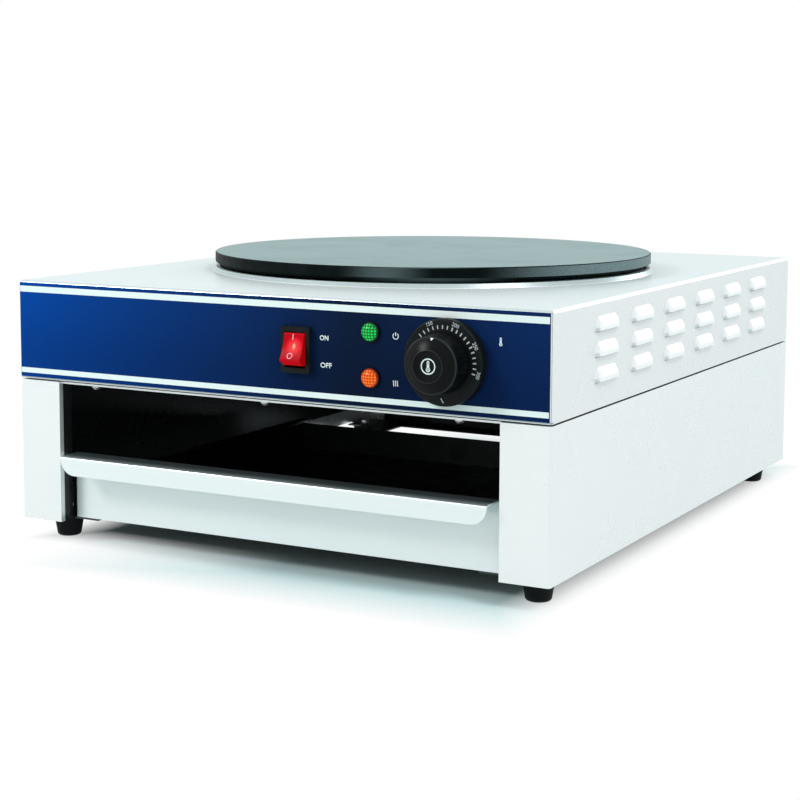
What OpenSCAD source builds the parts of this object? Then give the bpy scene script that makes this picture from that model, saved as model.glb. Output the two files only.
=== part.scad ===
// Electric crepe maker: a round cast plate on a folded sheet housing,
// with a control panel, an open compartment and a shallow tool drawer.
// Units are millimetres. +Z is up, -Y is the control side, and the
// origin lies on the worktop under the middle of the housing.

/* [Housing] */
// Width of the housing across the control side
body_w = 495; // [470:1:560]
// Depth of the housing from the control side to the back
body_d = 590; // [560:1:680]
// Height of the lower housing
base_h = 120.5; // [112:0.5:160]
// Height of the upper housing
cap_h = 83.5; // [80:0.5:110]
// Thickness of the housing sheet
sheet = 1.5; // [1:0.1:2]
// Outside radius of the housing's bends
bend_r = 2.6; // [2.2:0.1:4]
// Width of the flange folded in along the edges of the upper housing
cap_flange = 18; // [14:1:26]
// Width of the frame folded in along the top of the lower housing
base_flange = 24; // [16:1:32]
// Width of each corner post of the lower housing
post_w = 41.5; // [34:0.5:50]
// Depth of the fold behind each front post
return_d = 16; // [8:1:24]
// Depth of the flange along the bottom of the back
heel_d = 27; // [20:1:40]
// Thickness of the pan that closes the upper housing from below
pan_t = 1.5; // [1:0.1:3]
// How far the pan's edge lies behind the housing's faces
pan_inset = 4.5; // [3:0.5:8]
// Thickness of the panel that closes the back of the compartment
back_t = 1.2; // [0.8:0.1:2]
// How far the back panel laps behind each post
back_lap = 10; // [8:1:20]
// Distance of the back panel's screws from its upper and lower edges
back_screw_in = 25; // [15:1:40]

/* [Louvres] */
// Louvres in each row
louvre_cols = 6; // [3:1:7]
// Rows of louvres on each side
louvre_rows = 3; // [1:1:3]
// Length of a louvre
louvre_l = 50; // [40:1:60]
// Height of a louvre
louvre_h = 10.5; // [8:0.5:12]
// How far a louvre stands out of the side
louvre_out = 4; // [3:0.25:5]
// Thickness of the pressed louvre hood
louvre_t = 1.2; // [0.8:0.1:1.5]
// Distance between louvres along a row
louvre_pitch_y = 76.5; // [70:0.5:84]
// Distance between rows
louvre_pitch_z = 19.8; // [17:0.1:22]
// Depth of the top row's lower edge below the top of the housing
louvre_drop = 22.8; // [20:0.1:26]

/* [Cooking plate] */
// Diameter of the cooking plate
plate_d = 400; // [360:1:420]
// Whole thickness of the plate at its middle
plate_h = 19.5; // [17:0.5:24]
// Height of the plate's upright rim
plate_rim = 8.8; // [6:0.1:10]
// Height of the slanted step under the rim
plate_bevel = 4.5; // [3:0.5:6]
// How far the step runs in under the rim
plate_step = 6; // [4:0.5:9]
// Chamfer round the top edge of the plate
plate_chamfer = 0.8; // [0.5:0.1:1.5]
// Height of the cooking face above the housing
plate_rise = 17; // [14:0.5:20]
// Distance of the plate's centre behind the middle of the housing
plate_y = -7; // [-20:1:20]
// Gap between the plate's waist and the collar in the housing
collar_gap = 2; // [1:0.5:4]
// Height of the ring pressed up round the plate
ring_rise = 3.5; // [1:0.1:5]
// Width of the pressed ring
ring_w = 6; // [5.5:0.5:12]
// Depth of the collar below the top sheet
collar_drop = 4; // [3:0.5:6]

/* [Heating] */
// Diameter of the tubular heating element
element_d = 8; // [6:0.5:8.5]
// Radius of the outer heating loop
loop_outer_r = 150; // [140:1:155]
// Radius of the inner heating loop
loop_inner_r = 88; // [75:1:95]
// How far the element sits up into the plate
element_sink = 1; // [0.5:0.25:2]
// Thickness of the plate that clamps the element
clamp_t = 1.5; // [1:0.1:3]
// Radius of the clamp plate
clamp_r = 172; // [165:1:176]
// Thickness of the insulation under the element
wool_t = 24; // [15:1:28]
// Radius of the insulation pad
wool_r = 180; // [178:1:184]
// Thickness of the heat shield
shield_t = 1; // [0.6:0.1:1.5]
// Diameter of the studs that hold the plate
stud_d = 8; // [6:0.5:10]
// Radius of the circle of studs
stud_circle_r = 120; // [116:1:124]
// Number of studs
stud_count = 3; // [3:1:4]
// Depth of a stud in the plate
stud_sink = 9; // [7:0.5:10]
// Diameter of the spacers round the studs
spacer_d = 16; // [13:0.5:20]
// Width across the flats of a stud nut
nut_flats = 13; // [12:0.5:17]
// Height of a stud nut
nut_h = 6.5; // [5:0.5:8]
// Diameter of the thermostat's bulb
bulb_d = 7.5; // [7.2:0.1:8]
// Length of the thermostat's bulb
bulb_l = 76; // [50:1:84]
// Diameter of the bulb's capillary tube
capillary_d = 2; // [1.5:0.1:2.5]

/* [Control panel] */
// Thickness of the printed control panel
panel_t = 0.8; // [0.5:0.1:1.5]
// Bare margin of the housing round the panel
panel_margin = 1.4; // [1:0.1:3]
// Distance of the switch from the right side of the housing
switch_in = 216; // [207:0.5:237]
// Distance of the lamps from the right side
lamp_in = 150.5; // [143:0.1:163]
// Distance between the two lamps
lamp_pitch = 35.4; // [28:0.1:40]
// Distance of the dial from the right side
dial_in = 85; // [73:0.5:97]

/* [Switch] */
// Width of the switch bezel
switch_w = 26; // [25:0.5:32]
// Height of the switch bezel
switch_h = 36.5; // [36:0.5:44]
// Thickness of the switch bezel
switch_bezel_t = 4.5; // [2.5:0.1:5]
// Width of the rocker
rocker_w = 18; // [16:0.1:20]
// Height of the rocker at the bezel
rocker_h = 26; // [25:0.5:30]
// Height of the rocker's flat face
rocker_face_h = 23; // [20:0.5:24]
// Distance of the rocker's face from its pivot
rocker_out = 8; // [7:0.5:10]
// Depth of the finger dip in the rocker's face
rocker_dip = 1; // [0.4:0.1:2]
// Tilt of the rocker from its middle place
rocker_tilt = 20; // [8:1:22]
// Depth of the switch housing behind the panel
switch_depth = 24; // [18:1:30]
// Diameter of the rocker's pivot pins
rocker_pin_d = 3; // [2:0.5:4]
// Clearance round the rocker
rocker_gap = 0.5; // [0.3:0.1:1]

/* [Lamps] */
// Diameter of a lamp's rim
lamp_d = 16.4; // [14:0.1:20]
// Diameter of a lamp's lens
lens_d = 14.6; // [12:0.1:15]
// Height of the lens dome above the rim
lens_rise = 3.6; // [2:0.1:5]
// Thickness of the lamp's rim
lamp_rim_t = 1.6; // [1.2:0.1:3]
// Thickness of the floor that the lens stands on
lamp_floor = 0.5; // [0.4:0.1:0.8]
// Diameter of the lamp's barrel through the panel
lamp_barrel_d = 12; // [10:0.5:13]
// Depth of the lamp's barrel behind the panel
lamp_depth = 26; // [18:1:32]

/* [Dial and knob] */
// Diameter of the dial plate
dial_d = 66; // [60:0.5:70]
// Thickness of the dial plate
dial_t = 8.5; // [5:0.5:10]
// Diameter of the control knob at its back
knob_d = 46; // [44:0.5:48]
// How much narrower the knob is at its front rim
knob_taper = 2.4; // [1:0.2:4]
// Height of the knob's side from its back to the rim
knob_side = 18.2; // [14:0.1:22]
// Bevel round the knob's front rim
knob_bevel = 0.8; // [0.4:0.1:1.5]
// Rise of the domed face from the rim to the dish
knob_dome = 5; // [3:0.5:7]
// Gap between the knob and the dial
knob_gap = 0.5; // [0.3:0.1:1.5]
// Diameter of the dish in the knob's face
knob_dish_d = 24; // [20:0.5:30]
// Height of each step down into the dish
knob_step = 0.6; // [0.3:0.1:0.8]
// Diameter of the thermostat's shaft
shaft_d = 6; // [5:0.5:8]
// Width of the thermostat's body
thermostat_w = 42; // [36:1:50]
// Depth of the thermostat's body
thermostat_depth = 28; // [20:1:36]
// Distance between the thermostat's two screws
thermostat_screw_pitch = 28; // [22:1:34]

/* [Drawer] */
// Gap between the drawer's front and each post
drawer_side_gap = 3; // [1.5:0.1:5]
// How far the drawer's front lies behind the posts
drawer_recess = 16; // [8:0.5:24]
// Height of the drawer's front
drawer_front_h = 56.8; // [50:0.1:70]
// Thickness of the drawer's sheet
drawer_sheet = 1.2; // [0.8:0.1:1.5]
// Depth of the tray
tray_d = 368; // [320:1:460]
// Height of the tray's walls
tray_h = 27.5; // [20:0.5:36]
// Gap between the tray's side and the drawer front's edge
tray_inset = 3; // [2.5:0.1:6]
// Reach of the pull in front of the drawer's face
pull_reach = 24; // [18:0.5:30]
// Height of the pull's turned-down lip
pull_lip = 16; // [12:0.5:20]
// How far each end of the pull lies inside the drawer front's edge
pull_inset = 3.5; // [2:0.1:10]
// Radius of the pull's lower corners
pull_corner = 14; // [6:0.5:15]
// Width of the fold along each edge of the drawer's front
drawer_fold = 8; // [5:0.5:10]
// Width of a runner's floor under the tray
runner_shelf = 25; // [16:0.5:30]
// Width of the runner's floor outside its web
runner_ledge = 15; // [12:0.5:20]
// Distance of the runner's tabs over the feet from the side of the housing
runner_edge = 9; // [6:0.5:12]
// How far the runner's web goes on behind the tray
runner_tail = 12; // [4:1:30]
// Height of the runner's web
runner_web = 31; // [29:0.5:42]
// Width of the keeper along the top of the runner
runner_keeper = 10; // [7:0.5:12]
// Gap that the tray slides on
slide_gap = 0.4; // [0.3:0.1:1]

/* [Feet] */
// Height of the feet
foot_h = 19; // [12:0.5:30]
// Diameter of a foot at its top
foot_top_d = 26.5; // [20:0.5:30]
// Diameter of a foot at the worktop
foot_low_d = 21; // [14:0.5:24]
// Distance of a foot's centre from the side of the housing
foot_in_x = 23.5; // [20:0.5:28]
// Distance of a foot's centre from the front or the back
foot_in_y = 33; // [28:0.5:40]
// Diameter of a foot's stud
foot_stud_d = 5; // [4:0.5:6]

/* [Mains entry] */
// Distance of the cable gland from the right side
gland_in = 97.5; // [58:0.5:187]
// Distance of the terminal block from the back
block_in = 75; // [60:1:90]
// Height of the gland above the bottom of the upper housing
gland_rise = 28; // [22:1:40]
// Diameter of the gland's thread
gland_thread_d = 20; // [16:0.5:22]
// Diameter of the cable bore in the gland
gland_bore_d = 9; // [7:0.5:11]
// Width across the flats of the gland's hexagon
gland_flats = 24; // [23:0.5:28]
// How far the gland stands out of the back
gland_out = 33.8; // [30:0.1:38]

/* [Hidden] */

$fn = 48;
EPS = 0.01;      // overlap of pieces of one solid
CUT = 1;         // how far a cutting tool runs past what it cuts
FIT = 0.05;      // radial running fit of a pin or shaft

// levels
base_z0 = foot_h;
base_z1 = base_z0 + base_h;
cap_z0 = base_z1 + pan_t;
cap_z1 = cap_z0 + cap_h;
cook_z = cap_z1 + plate_rise;
plate_z0 = cook_z - plate_h;
front_y = -body_d / 2;
back_y = body_d / 2;
side_x = body_w / 2;
mouth_w = body_w - 2 * post_w;
runner_y0 = front_y + return_d + 2;
runner_y1 = back_y - heel_d;

// control panel places
switch_x = side_x - switch_in;
lamp_x = side_x - lamp_in;
dial_x = side_x - dial_in;
gland_x = side_x - gland_in;
panel_mid_z = cap_z0 + cap_h / 2;
dial_z = panel_mid_z - 0.8;
switch_z = panel_mid_z;
panel_y = front_y - panel_t;
wall_y = front_y + sheet;

// plate stack
plate_r = plate_d / 2;
waist_r = plate_r - plate_step;
collar_r = waist_r + collar_gap;
ring_r = collar_r + ring_w;
element_z = plate_z0 + element_sink - element_d / 2;
clamp_z1 = element_z - element_d / 2;
wool_z1 = clamp_z1 - clamp_t;
shield_z1 = wool_z1 - wool_t;
shield_z0 = shield_z1 - shield_t;
bulb_z = clamp_z1 + bulb_d / 2;

// drawer
drawer_half = mouth_w / 2 - drawer_side_gap;
drawer_y = front_y + drawer_recess;
tray_half = drawer_half - tray_inset;
tray_z0 = base_z0 + sheet + slide_gap;
drawer_z0 = tray_z0 + 0.3;
drawer_z1 = drawer_z0 + drawer_front_h;
tray_y0 = drawer_y + drawer_sheet;
fold_r = 2 * drawer_sheet;

// rectangle with round corners
module round_rect(w, d, r) {
    square([w - 2 * r, d], center = true);
    square([w, d - 2 * r], center = true);
    for (x = [-1, 1], y = [-1, 1])
        translate([x * (w / 2 - r), y * (d / 2 - r)]) circle(r);
}

// upright outline, flat below and with round upper corners
module arch(w, h, r) {
    translate([-w / 2, 0]) square([w, h - r]);
    translate([-w / 2 + r, 0]) square([w - 2 * r, h]);
    for (x = [-1, 1])
        translate([x * (w / 2 - r), h - r]) circle(r);
}

// block with the bends of a folded box: upright edges and upper edges
module folded_block(w, d, h, r) {
    intersection() {
        linear_extrude(h) round_rect(w, d, r);
        rotate([90, 0, 90]) translate([0, 0, -w / 2]) linear_extrude(w) arch(d, h, r);
        rotate([90, 0, 0]) translate([0, 0, -d / 2]) linear_extrude(d) arch(w, h, r);
    }
}

// flat sheet between two heights
module sheet_at(z, t) {
    translate([0, 0, z]) linear_extrude(t) children();
}

// cylinder along +Y from a point
module rod_y(p, d, l) {
    translate(p) rotate([-90, 0, 0]) cylinder(d = d, h = l);
}

// straight round rod between two points
module rod(a, b, d) {
    v = b - a;
    l = norm(v);
    translate(a) rotate([0, acos(v[2] / l), atan2(v[1], v[0])]) cylinder(d = d, h = l);
}

// bent wire or tube through a list of points, with a knuckle at each bend
module bent_rod(points, d) {
    for (i = [0 : len(points) - 2]) rod(points[i], points[i + 1], d);
    for (i = [1 : len(points) - 2]) translate(points[i]) sphere(d = 1.2 * d);
}

// pan head of a screw, standing on its seat
module pan_head(d, h) {
    rotate_extrude() polygon([[0, 0], [d, 0], [d, 0.4 * h], [0.64 * d, h], [0, h]]);
}

module at_studs() {
    for (i = [0 : stud_count - 1])
        translate([0, plate_y, 0]) rotate([0, 0, 90 + i * 360 / stud_count])
            translate([stud_circle_r, 0, 0]) children();
}

/* ---- lower housing ---- */

// places of the screws that join the two housings, seen from above
join_x = [-172, -4, 169];
join_y = 6;
join_head_h = 3;
join_d = 4;
module at_joins() {
    for (x = join_x, side = [-1, 1])
        translate([x, side * (back_y - sheet - join_y), 0]) children();
}

module base_walls() {
    difference() {
        round_rect(body_w, body_d, bend_r);
        round_rect(body_w - 2 * sheet, body_d - 2 * sheet, bend_r - sheet);
        square([mouth_w, body_d + CUT], center = true);
    }
    for (x = [-1, 1])
        translate([x * (mouth_w + sheet) / 2, front_y + return_d / 2])
            square([sheet, return_d], center = true);
}

module base_top_frame() {
    mouth_step = 3.5;
    difference() {
        round_rect(body_w, body_d, bend_r);
        square([body_w - 2 * base_flange, body_d - 2 * base_flange], center = true);
        for (y = [front_y, back_y])
            translate([0, y]) square([mouth_w, 2 * mouth_step], center = true);
        at_joins() circle(d = join_d + 0.4);
    }
}

module base_bottom_flanges() {
    // pads under the front posts
    for (x = [-1, 1])
        translate([x * (side_x - post_w / 2), (front_y + runner_y0) / 2])
            intersection() {
                square([post_w, runner_y0 - front_y], center = true);
                translate([-x * (side_x - post_w / 2), -(front_y + runner_y0) / 2])
                    round_rect(body_w, body_d, bend_r);
            }
    // heel along the back
    difference() {
        round_rect(body_w, body_d, bend_r);
        translate([0, -heel_d]) square([body_w + CUT, body_d], center = true);
        at_feet() circle(d = foot_stud_d + 0.5);
    }
}

module lower_housing() {
    color("gainsboro") difference() {
        union() {
            sheet_at(base_z0, base_h) base_walls();
            sheet_at(base_z1 - sheet, sheet) base_top_frame();
            sheet_at(base_z0, sheet) base_bottom_flanges();
        }
        at_back_screws() rod_y([0, back_y - sheet - CUT, 0], back_screw_d + 0.2, sheet + 2 * CUT);
    }
}

back_screw_d = 4;
back_screw_z = [base_z0 + back_screw_in, base_z1 - back_screw_in];
module at_back_screws() {
    for (x = [-1, 1], z = back_screw_z)
        translate([x * (mouth_w / 2 + back_lap / 2), 0, z]) children();
}

module rear_panel() {
    panel_w = mouth_w + 2 * back_lap;
    z0 = base_z0 + sheet;
    color("silver") difference() {
        translate([-panel_w / 2, back_y - sheet - back_t, z0])
            cube([panel_w, back_t, base_h - 2 * sheet]);
        at_back_screws() rod_y([0, back_y - sheet - back_t - CUT, 0], back_screw_d + 0.2, back_t + 2 * CUT);
    }
}

// screws through the posts and the back panel, with nuts inside
module back_screws() {
    head_h = 2.4;
    nut_t = 3.2;
    color("silver") at_back_screws() {
        translate([0, back_y, 0]) rotate([-90, 0, 0]) pan_head(back_screw_d, head_h);
        rod_y([0, back_y - sheet - back_t - nut_t - 1, 0], back_screw_d, sheet + back_t + nut_t + 1 + EPS);
        translate([0, back_y - sheet - back_t, 0]) rotate([90, 0, 0])
            cylinder(r = back_screw_d, h = nut_t, $fn = 6);
    }
}

module runner(side) {
    web_x = mouth_w / 2;
    web_y1 = tray_y0 + tray_d + runner_tail;
    keeper_y0 = drawer_y + drawer_fold + 6;
    keeper_z = base_z0 + runner_web;
    tab_w = side_x - runner_edge - web_x;
    tab_reach = foot_in_y + foot_top_d / 2;
    color("lightgray") scale([side, 1, 1]) difference() {
        union() {
            translate([web_x - runner_shelf, runner_y0, base_z0])
                cube([runner_shelf + runner_ledge, runner_y1 - runner_y0, sheet]);
            translate([web_x, runner_y0, base_z0])
                cube([tab_w, front_y + tab_reach - runner_y0, sheet]);
            translate([web_x, back_y - tab_reach, base_z0])
                cube([tab_w, runner_y1 - back_y + tab_reach, sheet]);
            translate([web_x, runner_y0, base_z0])
                cube([sheet, web_y1 - runner_y0, runner_web]);
            translate([web_x + sheet - runner_keeper, keeper_y0, keeper_z])
                cube([runner_keeper, web_y1 - keeper_y0, sheet]);
        }
        translate([0, 0, base_z0 - CUT]) at_feet() cylinder(d = foot_stud_d + 0.5, h = sheet + 2 * CUT);
    }
}

module runner_left() { mirror([1, 0, 0]) runner(1); }
module runner_right() { runner(1); }

/* ---- feet ---- */

module at_foot(x, y) {
    translate([x * (side_x - foot_in_x), y * (back_y - foot_in_y), 0]) children();
}

module at_feet() {
    for (x = [-1, 1], y = [-1, 1]) at_foot(x, y) children();
}

module foot(x, y) {
    round_low = 3;
    color([0.09, 0.09, 0.1]) at_foot(x, y)
        difference() {
            rotate_extrude() difference() {
                union() {
                    polygon([[0, 0], [foot_low_d / 2 - round_low, 0], [foot_low_d / 2, round_low],
                        [foot_top_d / 2, foot_h], [0, foot_h]]);
                    translate([foot_low_d / 2 - round_low, round_low]) circle(round_low);
                }
                translate([-foot_top_d, -CUT]) square([foot_top_d, foot_h + 2 * CUT]);
            }
            translate([0, 0, foot_h / 2]) cylinder(d = foot_stud_d, h = foot_h);
        }
}

module foot_front_left() { foot(-1, -1); }
module foot_front_right() { foot(1, -1); }
module foot_rear_left() { foot(-1, 1); }
module foot_rear_right() { foot(1, 1); }

// stud of each foot, with its nut on the runner or the heel
module foot_nuts() {
    nut_t = 4;
    nut_r = 4.6;
    color("silver") at_feet() {
        translate([0, 0, foot_h / 2]) cylinder(d = foot_stud_d - 0.1, h = foot_h / 2 + sheet + nut_t);
        translate([0, 0, foot_h + sheet]) cylinder(r = nut_r, h = nut_t, $fn = 6);
    }
}

/* ---- upper housing ---- */

module base_pan() {
    color("silver") difference() {
        sheet_at(base_z1, pan_t)
            square([body_w - 2 * pan_inset, body_d - 2 * pan_inset], center = true);
        translate([0, 0, base_z1 - CUT]) {
            at_studs() cylinder(d = stud_d + 0.6, h = pan_t + 2 * CUT);
            at_joins() cylinder(d = join_d + 0.4, h = pan_t + 2 * CUT);
        }
    }
}

// screws that join the housings: heads in the compartment, nuts above
module housing_screws() {
    nut_t = 3;
    color("silver") at_joins() {
        translate([0, 0, base_z1 - sheet]) mirror([0, 0, 1]) pan_head(join_d, join_head_h);
        translate([0, 0, base_z1 - sheet]) cylinder(d = join_d, h = 2 * sheet + pan_t + nut_t);
        translate([0, 0, cap_z0 + sheet]) cylinder(r = 4, h = nut_t, $fn = 6);
    }
}

louvre_r = (pow(louvre_out, 2) + pow(louvre_h, 2)) / (2 * louvre_out);

// round-ended form whose part outside the wall is a louvre's hood
module louvre_form(r) {
    translate([louvre_out - louvre_r, 0, 0]) {
        rotate([90, 0, 0]) cylinder(r = r, h = louvre_l - 2 * louvre_h, center = true);
        for (y = [-1, 1]) translate([0, y * (louvre_l / 2 - louvre_h), 0]) sphere(r);
    }
}

module at_louvres() {
    for (col = [0 : louvre_cols - 1], row = [0 : louvre_rows - 1])
        translate([side_x, (col - (louvre_cols - 1) / 2) * louvre_pitch_y,
            cap_z1 - louvre_drop - row * louvre_pitch_z]) children();
}

module louvre_hood() {
    intersection() {
        louvre_form(louvre_r);
        translate([-sheet / 2, -louvre_l / 2, 0]) cube([louvre_out + sheet, louvre_l, louvre_h + CUT]);
    }
}

module louvre_mouth() {
    shear = 0.3;
    intersection() {
        louvre_form(louvre_r - louvre_t);
        translate([-2 * sheet, -louvre_l / 2, -shear])
            cube([louvre_out + 2 * sheet, louvre_l, louvre_h + shear]);
    }
}

module plate_collar() {
    slope = 2.5;
    lap = 1;
    translate([0, plate_y, cap_z1]) rotate_extrude($fn = 128)
        polygon([[ring_r + lap, 0], [ring_r, 0], [ring_r - slope, ring_rise], [collar_r, ring_rise],
            [collar_r, -collar_drop], [collar_r + sheet, -collar_drop], [collar_r + sheet, ring_rise - sheet],
            [ring_r - slope - sheet / 2, ring_rise - sheet], [ring_r - sheet / 2, -sheet],
            [ring_r + lap, -sheet]]);
}

// openings for what passes through the panel and the wall behind it
module panel_openings(play) {
    y0 = panel_y - CUT;
    l = panel_t + sheet + 2 * CUT;
    translate([switch_x - switch_case_w / 2 - play, y0, switch_z - switch_case_h / 2 - play])
        cube([switch_case_w + 2 * play, l, switch_case_h + 2 * play]);
    for (s = [-1, 1])
        rod_y([lamp_x, y0, lamp_z(s)], lamp_barrel_d + 2 * play, l);
    rod_y([dial_x, y0, dial_z], bush_d + 2 * play, l);
    for (s = [-1, 1])
        rod_y([dial_x + s * thermostat_screw_pitch / 2, y0, dial_z], thermostat_screw_d + 2 * play, l);
}

module top_housing() {
    color("gainsboro") difference() {
        union() {
            difference() {
                translate([0, 0, cap_z0]) folded_block(body_w, body_d, cap_h, bend_r);
                translate([0, 0, cap_z0 + sheet])
                    folded_block(body_w - 2 * sheet, body_d - 2 * sheet, cap_h - 2 * sheet, bend_r - sheet);
                translate([0, 0, cap_z0 - CUT]) linear_extrude(sheet + 2 * CUT)
                    square([body_w - 2 * cap_flange, body_d - 2 * cap_flange], center = true);
                translate([0, plate_y, cap_z1 - sheet - CUT])
                    cylinder(r = ring_r + 1 - EPS, h = sheet + 2 * CUT, $fn = 128);
            }
            plate_collar();
            at_louvres() louvre_hood();
            mirror([1, 0, 0]) at_louvres() louvre_hood();
        }
        at_louvres() louvre_mouth();
        mirror([1, 0, 0]) at_louvres() louvre_mouth();
        panel_openings(0.2);
        rod_y([gland_x, back_y - sheet - CUT, cap_z0 + gland_rise], gland_thread_d + 0.4, sheet + 2 * CUT);
        translate([0, 0, cap_z0 - CUT]) at_joins() cylinder(d = join_d + 0.4, h = sheet + 2 * CUT);
    }
}

module control_panel() {
    w = body_w - 2 * (bend_r - sheet) - 2 * 0.5;
    color([0.06, 0.12, 0.32]) difference() {
        translate([-w / 2, panel_y, cap_z0 + panel_margin])
            cube([w, panel_t, cap_h - 2 * panel_margin - 0.3]);
        panel_openings(0.2);
    }
}

/* ---- switch ---- */

switch_case_w = switch_w - 2;
switch_case_h = switch_h - 3;
switch_wall = 2;
rocker_pivot_y = panel_y - switch_bezel_t + rocker_out * cos(rocker_tilt)
    - rocker_face_h / 2 * sin(rocker_tilt) - 0.4;
window_w = rocker_w + 2 * rocker_gap;
window_h = rocker_h + 2 * rocker_gap + 1.2;

module switch_body() {
    lug = [1, 6.3, 0.8];
    bezel_y = panel_y - switch_bezel_t;
    back = wall_y + switch_depth;
    color([0.05, 0.05, 0.06]) difference() {
        union() {
            translate([switch_x, panel_y, switch_z]) rotate([90, 0, 0])
                linear_extrude(switch_bezel_t) round_rect(switch_w, switch_h, 1.5);
            translate([switch_x - switch_case_w / 2, panel_y - EPS, switch_z - switch_case_h / 2])
                cube([switch_case_w, back - panel_y, switch_case_h]);
            for (z = [-8, 0, 8])
                translate([switch_x - lug[0] / 2, back - EPS, switch_z + z - lug[1] / 2])
                    cube([lug[2], 8, lug[1]]);
        }
        translate([switch_x - window_w / 2, bezel_y - CUT, switch_z - window_h / 2])
            cube([window_w, back - bezel_y - switch_wall + CUT, window_h]);
        translate([switch_x - window_w / 2 - 1.5, rocker_pivot_y, switch_z]) rotate([0, 90, 0])
            cylinder(d = rocker_pin_d + 2 * FIT, h = window_w + 3);
    }
}

// rocker in its pressed-on place, tilted about its pivot
module switch_rocker() {
    foot_y = 4;
    edge_r = 0.8;
    half = rocker_h / 2;
    face = rocker_face_h / 2;
    dip_half = face - 2 * edge_r;
    dip_r = (pow(dip_half, 2) + pow(rocker_dip, 2)) / (2 * rocker_dip);
    color([0.85, 0.05, 0.06]) translate([switch_x, rocker_pivot_y, switch_z])
        rotate([-rocker_tilt, 0, 0]) {
            rotate([90, 0, 90]) translate([0, 0, -rocker_w / 2]) linear_extrude(rocker_w) difference() {
                union() {
                    polygon([[foot_y, -half + 1], [-1, -half], [-rocker_out + edge_r, -face],
                        [-rocker_out, -face + edge_r], [-rocker_out, face - edge_r],
                        [-rocker_out + edge_r, face], [-1, half], [foot_y, half - 1]]);
                    for (s = [-1, 1])
                        translate([-rocker_out + edge_r, s * (face - edge_r)]) circle(edge_r);
                }
                translate([rocker_dip - rocker_out - dip_r, 0]) circle(dip_r, $fn = 128);
            }
            rotate([0, 90, 0]) cylinder(d = rocker_pin_d, h = window_w + 2.6, center = true);
        }
}

/* ---- lamps ---- */

function lamp_z(s) = panel_mid_z + s * lamp_pitch / 2;

module lamp_body(s) {
    nut_r = 9;
    nut_t = 3;
    color([0.06, 0.06, 0.07]) translate([lamp_x, 0, lamp_z(s)]) difference() {
        union() {
            rod_y([0, panel_y - lamp_rim_t, 0], lamp_d, lamp_rim_t);
            rod_y([0, panel_y - EPS, 0], lamp_barrel_d, wall_y + lamp_depth - panel_y);
            translate([0, wall_y, 0]) rotate([-90, 0, 0]) cylinder(r = nut_r, h = nut_t, $fn = 6);
            for (x = [-3, 3])
                translate([x - 0.4, wall_y + lamp_depth - EPS, -2]) cube([0.8, 7, 4]);
        }
        rod_y([0, panel_y - lamp_rim_t - CUT, 0], lens_d + 0.1, lamp_rim_t - lamp_floor + CUT);
        rod_y([0, panel_y - CUT, 0], lamp_barrel_d - 3, 14);
    }
}

module lamp_lens(s, tint) {
    skirt_r = lens_d / 2;
    dome_r = (pow(skirt_r, 2) + pow(lens_rise, 2)) / (2 * lens_rise);
    rim_out = 0.8;
    collar = lamp_rim_t - lamp_floor + rim_out;
    hollow_r = skirt_r - 2.2;
    color(tint, 0.8) translate([lamp_x, panel_y - lamp_floor, lamp_z(s)]) rotate([90, 0, 0]) difference() {
        intersection() {
            translate([0, 0, collar + lens_rise - dome_r]) sphere(dome_r, $fn = 64);
            cylinder(r = skirt_r, h = collar + lens_rise + CUT);
        }
        translate([0, 0, -CUT]) cylinder(r = hollow_r, h = collar + CUT);
    }
}

module power_lamp_body() { lamp_body(1); }
module heat_lamp_body() { lamp_body(-1); }
module power_lamp_lens() { lamp_lens(1, [0.1, 0.9, 0.2]); }
module heat_lamp_lens() { lamp_lens(-1, [1, 0.45, 0.05]); }

/* ---- thermostat, dial and knob ---- */

bush_d = shaft_d + 4;
thermostat_screw_d = 4;
knob_y = panel_y - dial_t - knob_gap;
knob_socket = knob_side - 5;

module dial_plate() {
    edge_r = 1.5;
    back_recess = 3.5;
    color([0.07, 0.07, 0.08]) translate([dial_x, panel_y, dial_z]) rotate([90, 0, 0]) difference() {
        rotate_extrude() {
            square([dial_d / 2 - edge_r, dial_t]);
            square([dial_d / 2, dial_t - edge_r]);
            translate([dial_d / 2 - edge_r, dial_t - edge_r]) circle(edge_r);
        }
        translate([0, 0, -CUT]) cylinder(d = dial_d - 8, h = back_recess + CUT);
        translate([0, 0, -CUT]) cylinder(d = bush_d + 0.6, h = dial_t + 2 * CUT);
    }
}

module control_knob() {
    foot_r = 0.8;
    hub_d = shaft_d + 7;
    wall = 2.5;
    step_w = 1.4;
    steps = 3;
    r = knob_d / 2;
    rim_r = r - knob_taper / 2;
    dome_edge = rim_r - knob_bevel;
    dish_r = knob_dish_d / 2;
    dome_z = knob_side + knob_bevel;
    // depth of the dome's centre behind its edge, from its rise between the edge and the dish
    dome_c = (pow(dome_edge, 2) - pow(dish_r, 2) - pow(knob_dome, 2)) / (2 * knob_dome);
    dome_r = norm([dome_edge, dome_c]);
    color([0.07, 0.07, 0.08]) translate([dial_x, knob_y, dial_z]) rotate([90, 0, 0]) difference() {
        union() {
            rotate_extrude() polygon([[0, 0], [r - foot_r, 0], [r, foot_r], [rim_r, knob_side],
                [dome_edge, dome_z], [0, dome_z]]);
            intersection() {
                translate([0, 0, dome_z - dome_c]) sphere(dome_r, $fn = 96);
                translate([0, 0, dome_z - EPS]) cylinder(r = dome_edge, h = dome_r);
            }
        }
        // dish in the face, stepped down to a flat
        for (i = [0 : steps - 1])
            translate([0, 0, dome_z + knob_dome - (i + 1) * knob_step])
                cylinder(r = dish_r - i * step_w, h = dome_r);
        // hollow back round the hub
        translate([0, 0, -CUT]) difference() {
            cylinder(r = rim_r - wall, h = knob_socket - 1 + CUT);
            cylinder(d = hub_d, h = knob_side);
        }
        translate([0, 0, -CUT]) cylinder(d = shaft_d + 0.04, h = knob_socket + CUT);
    }
}

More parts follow.
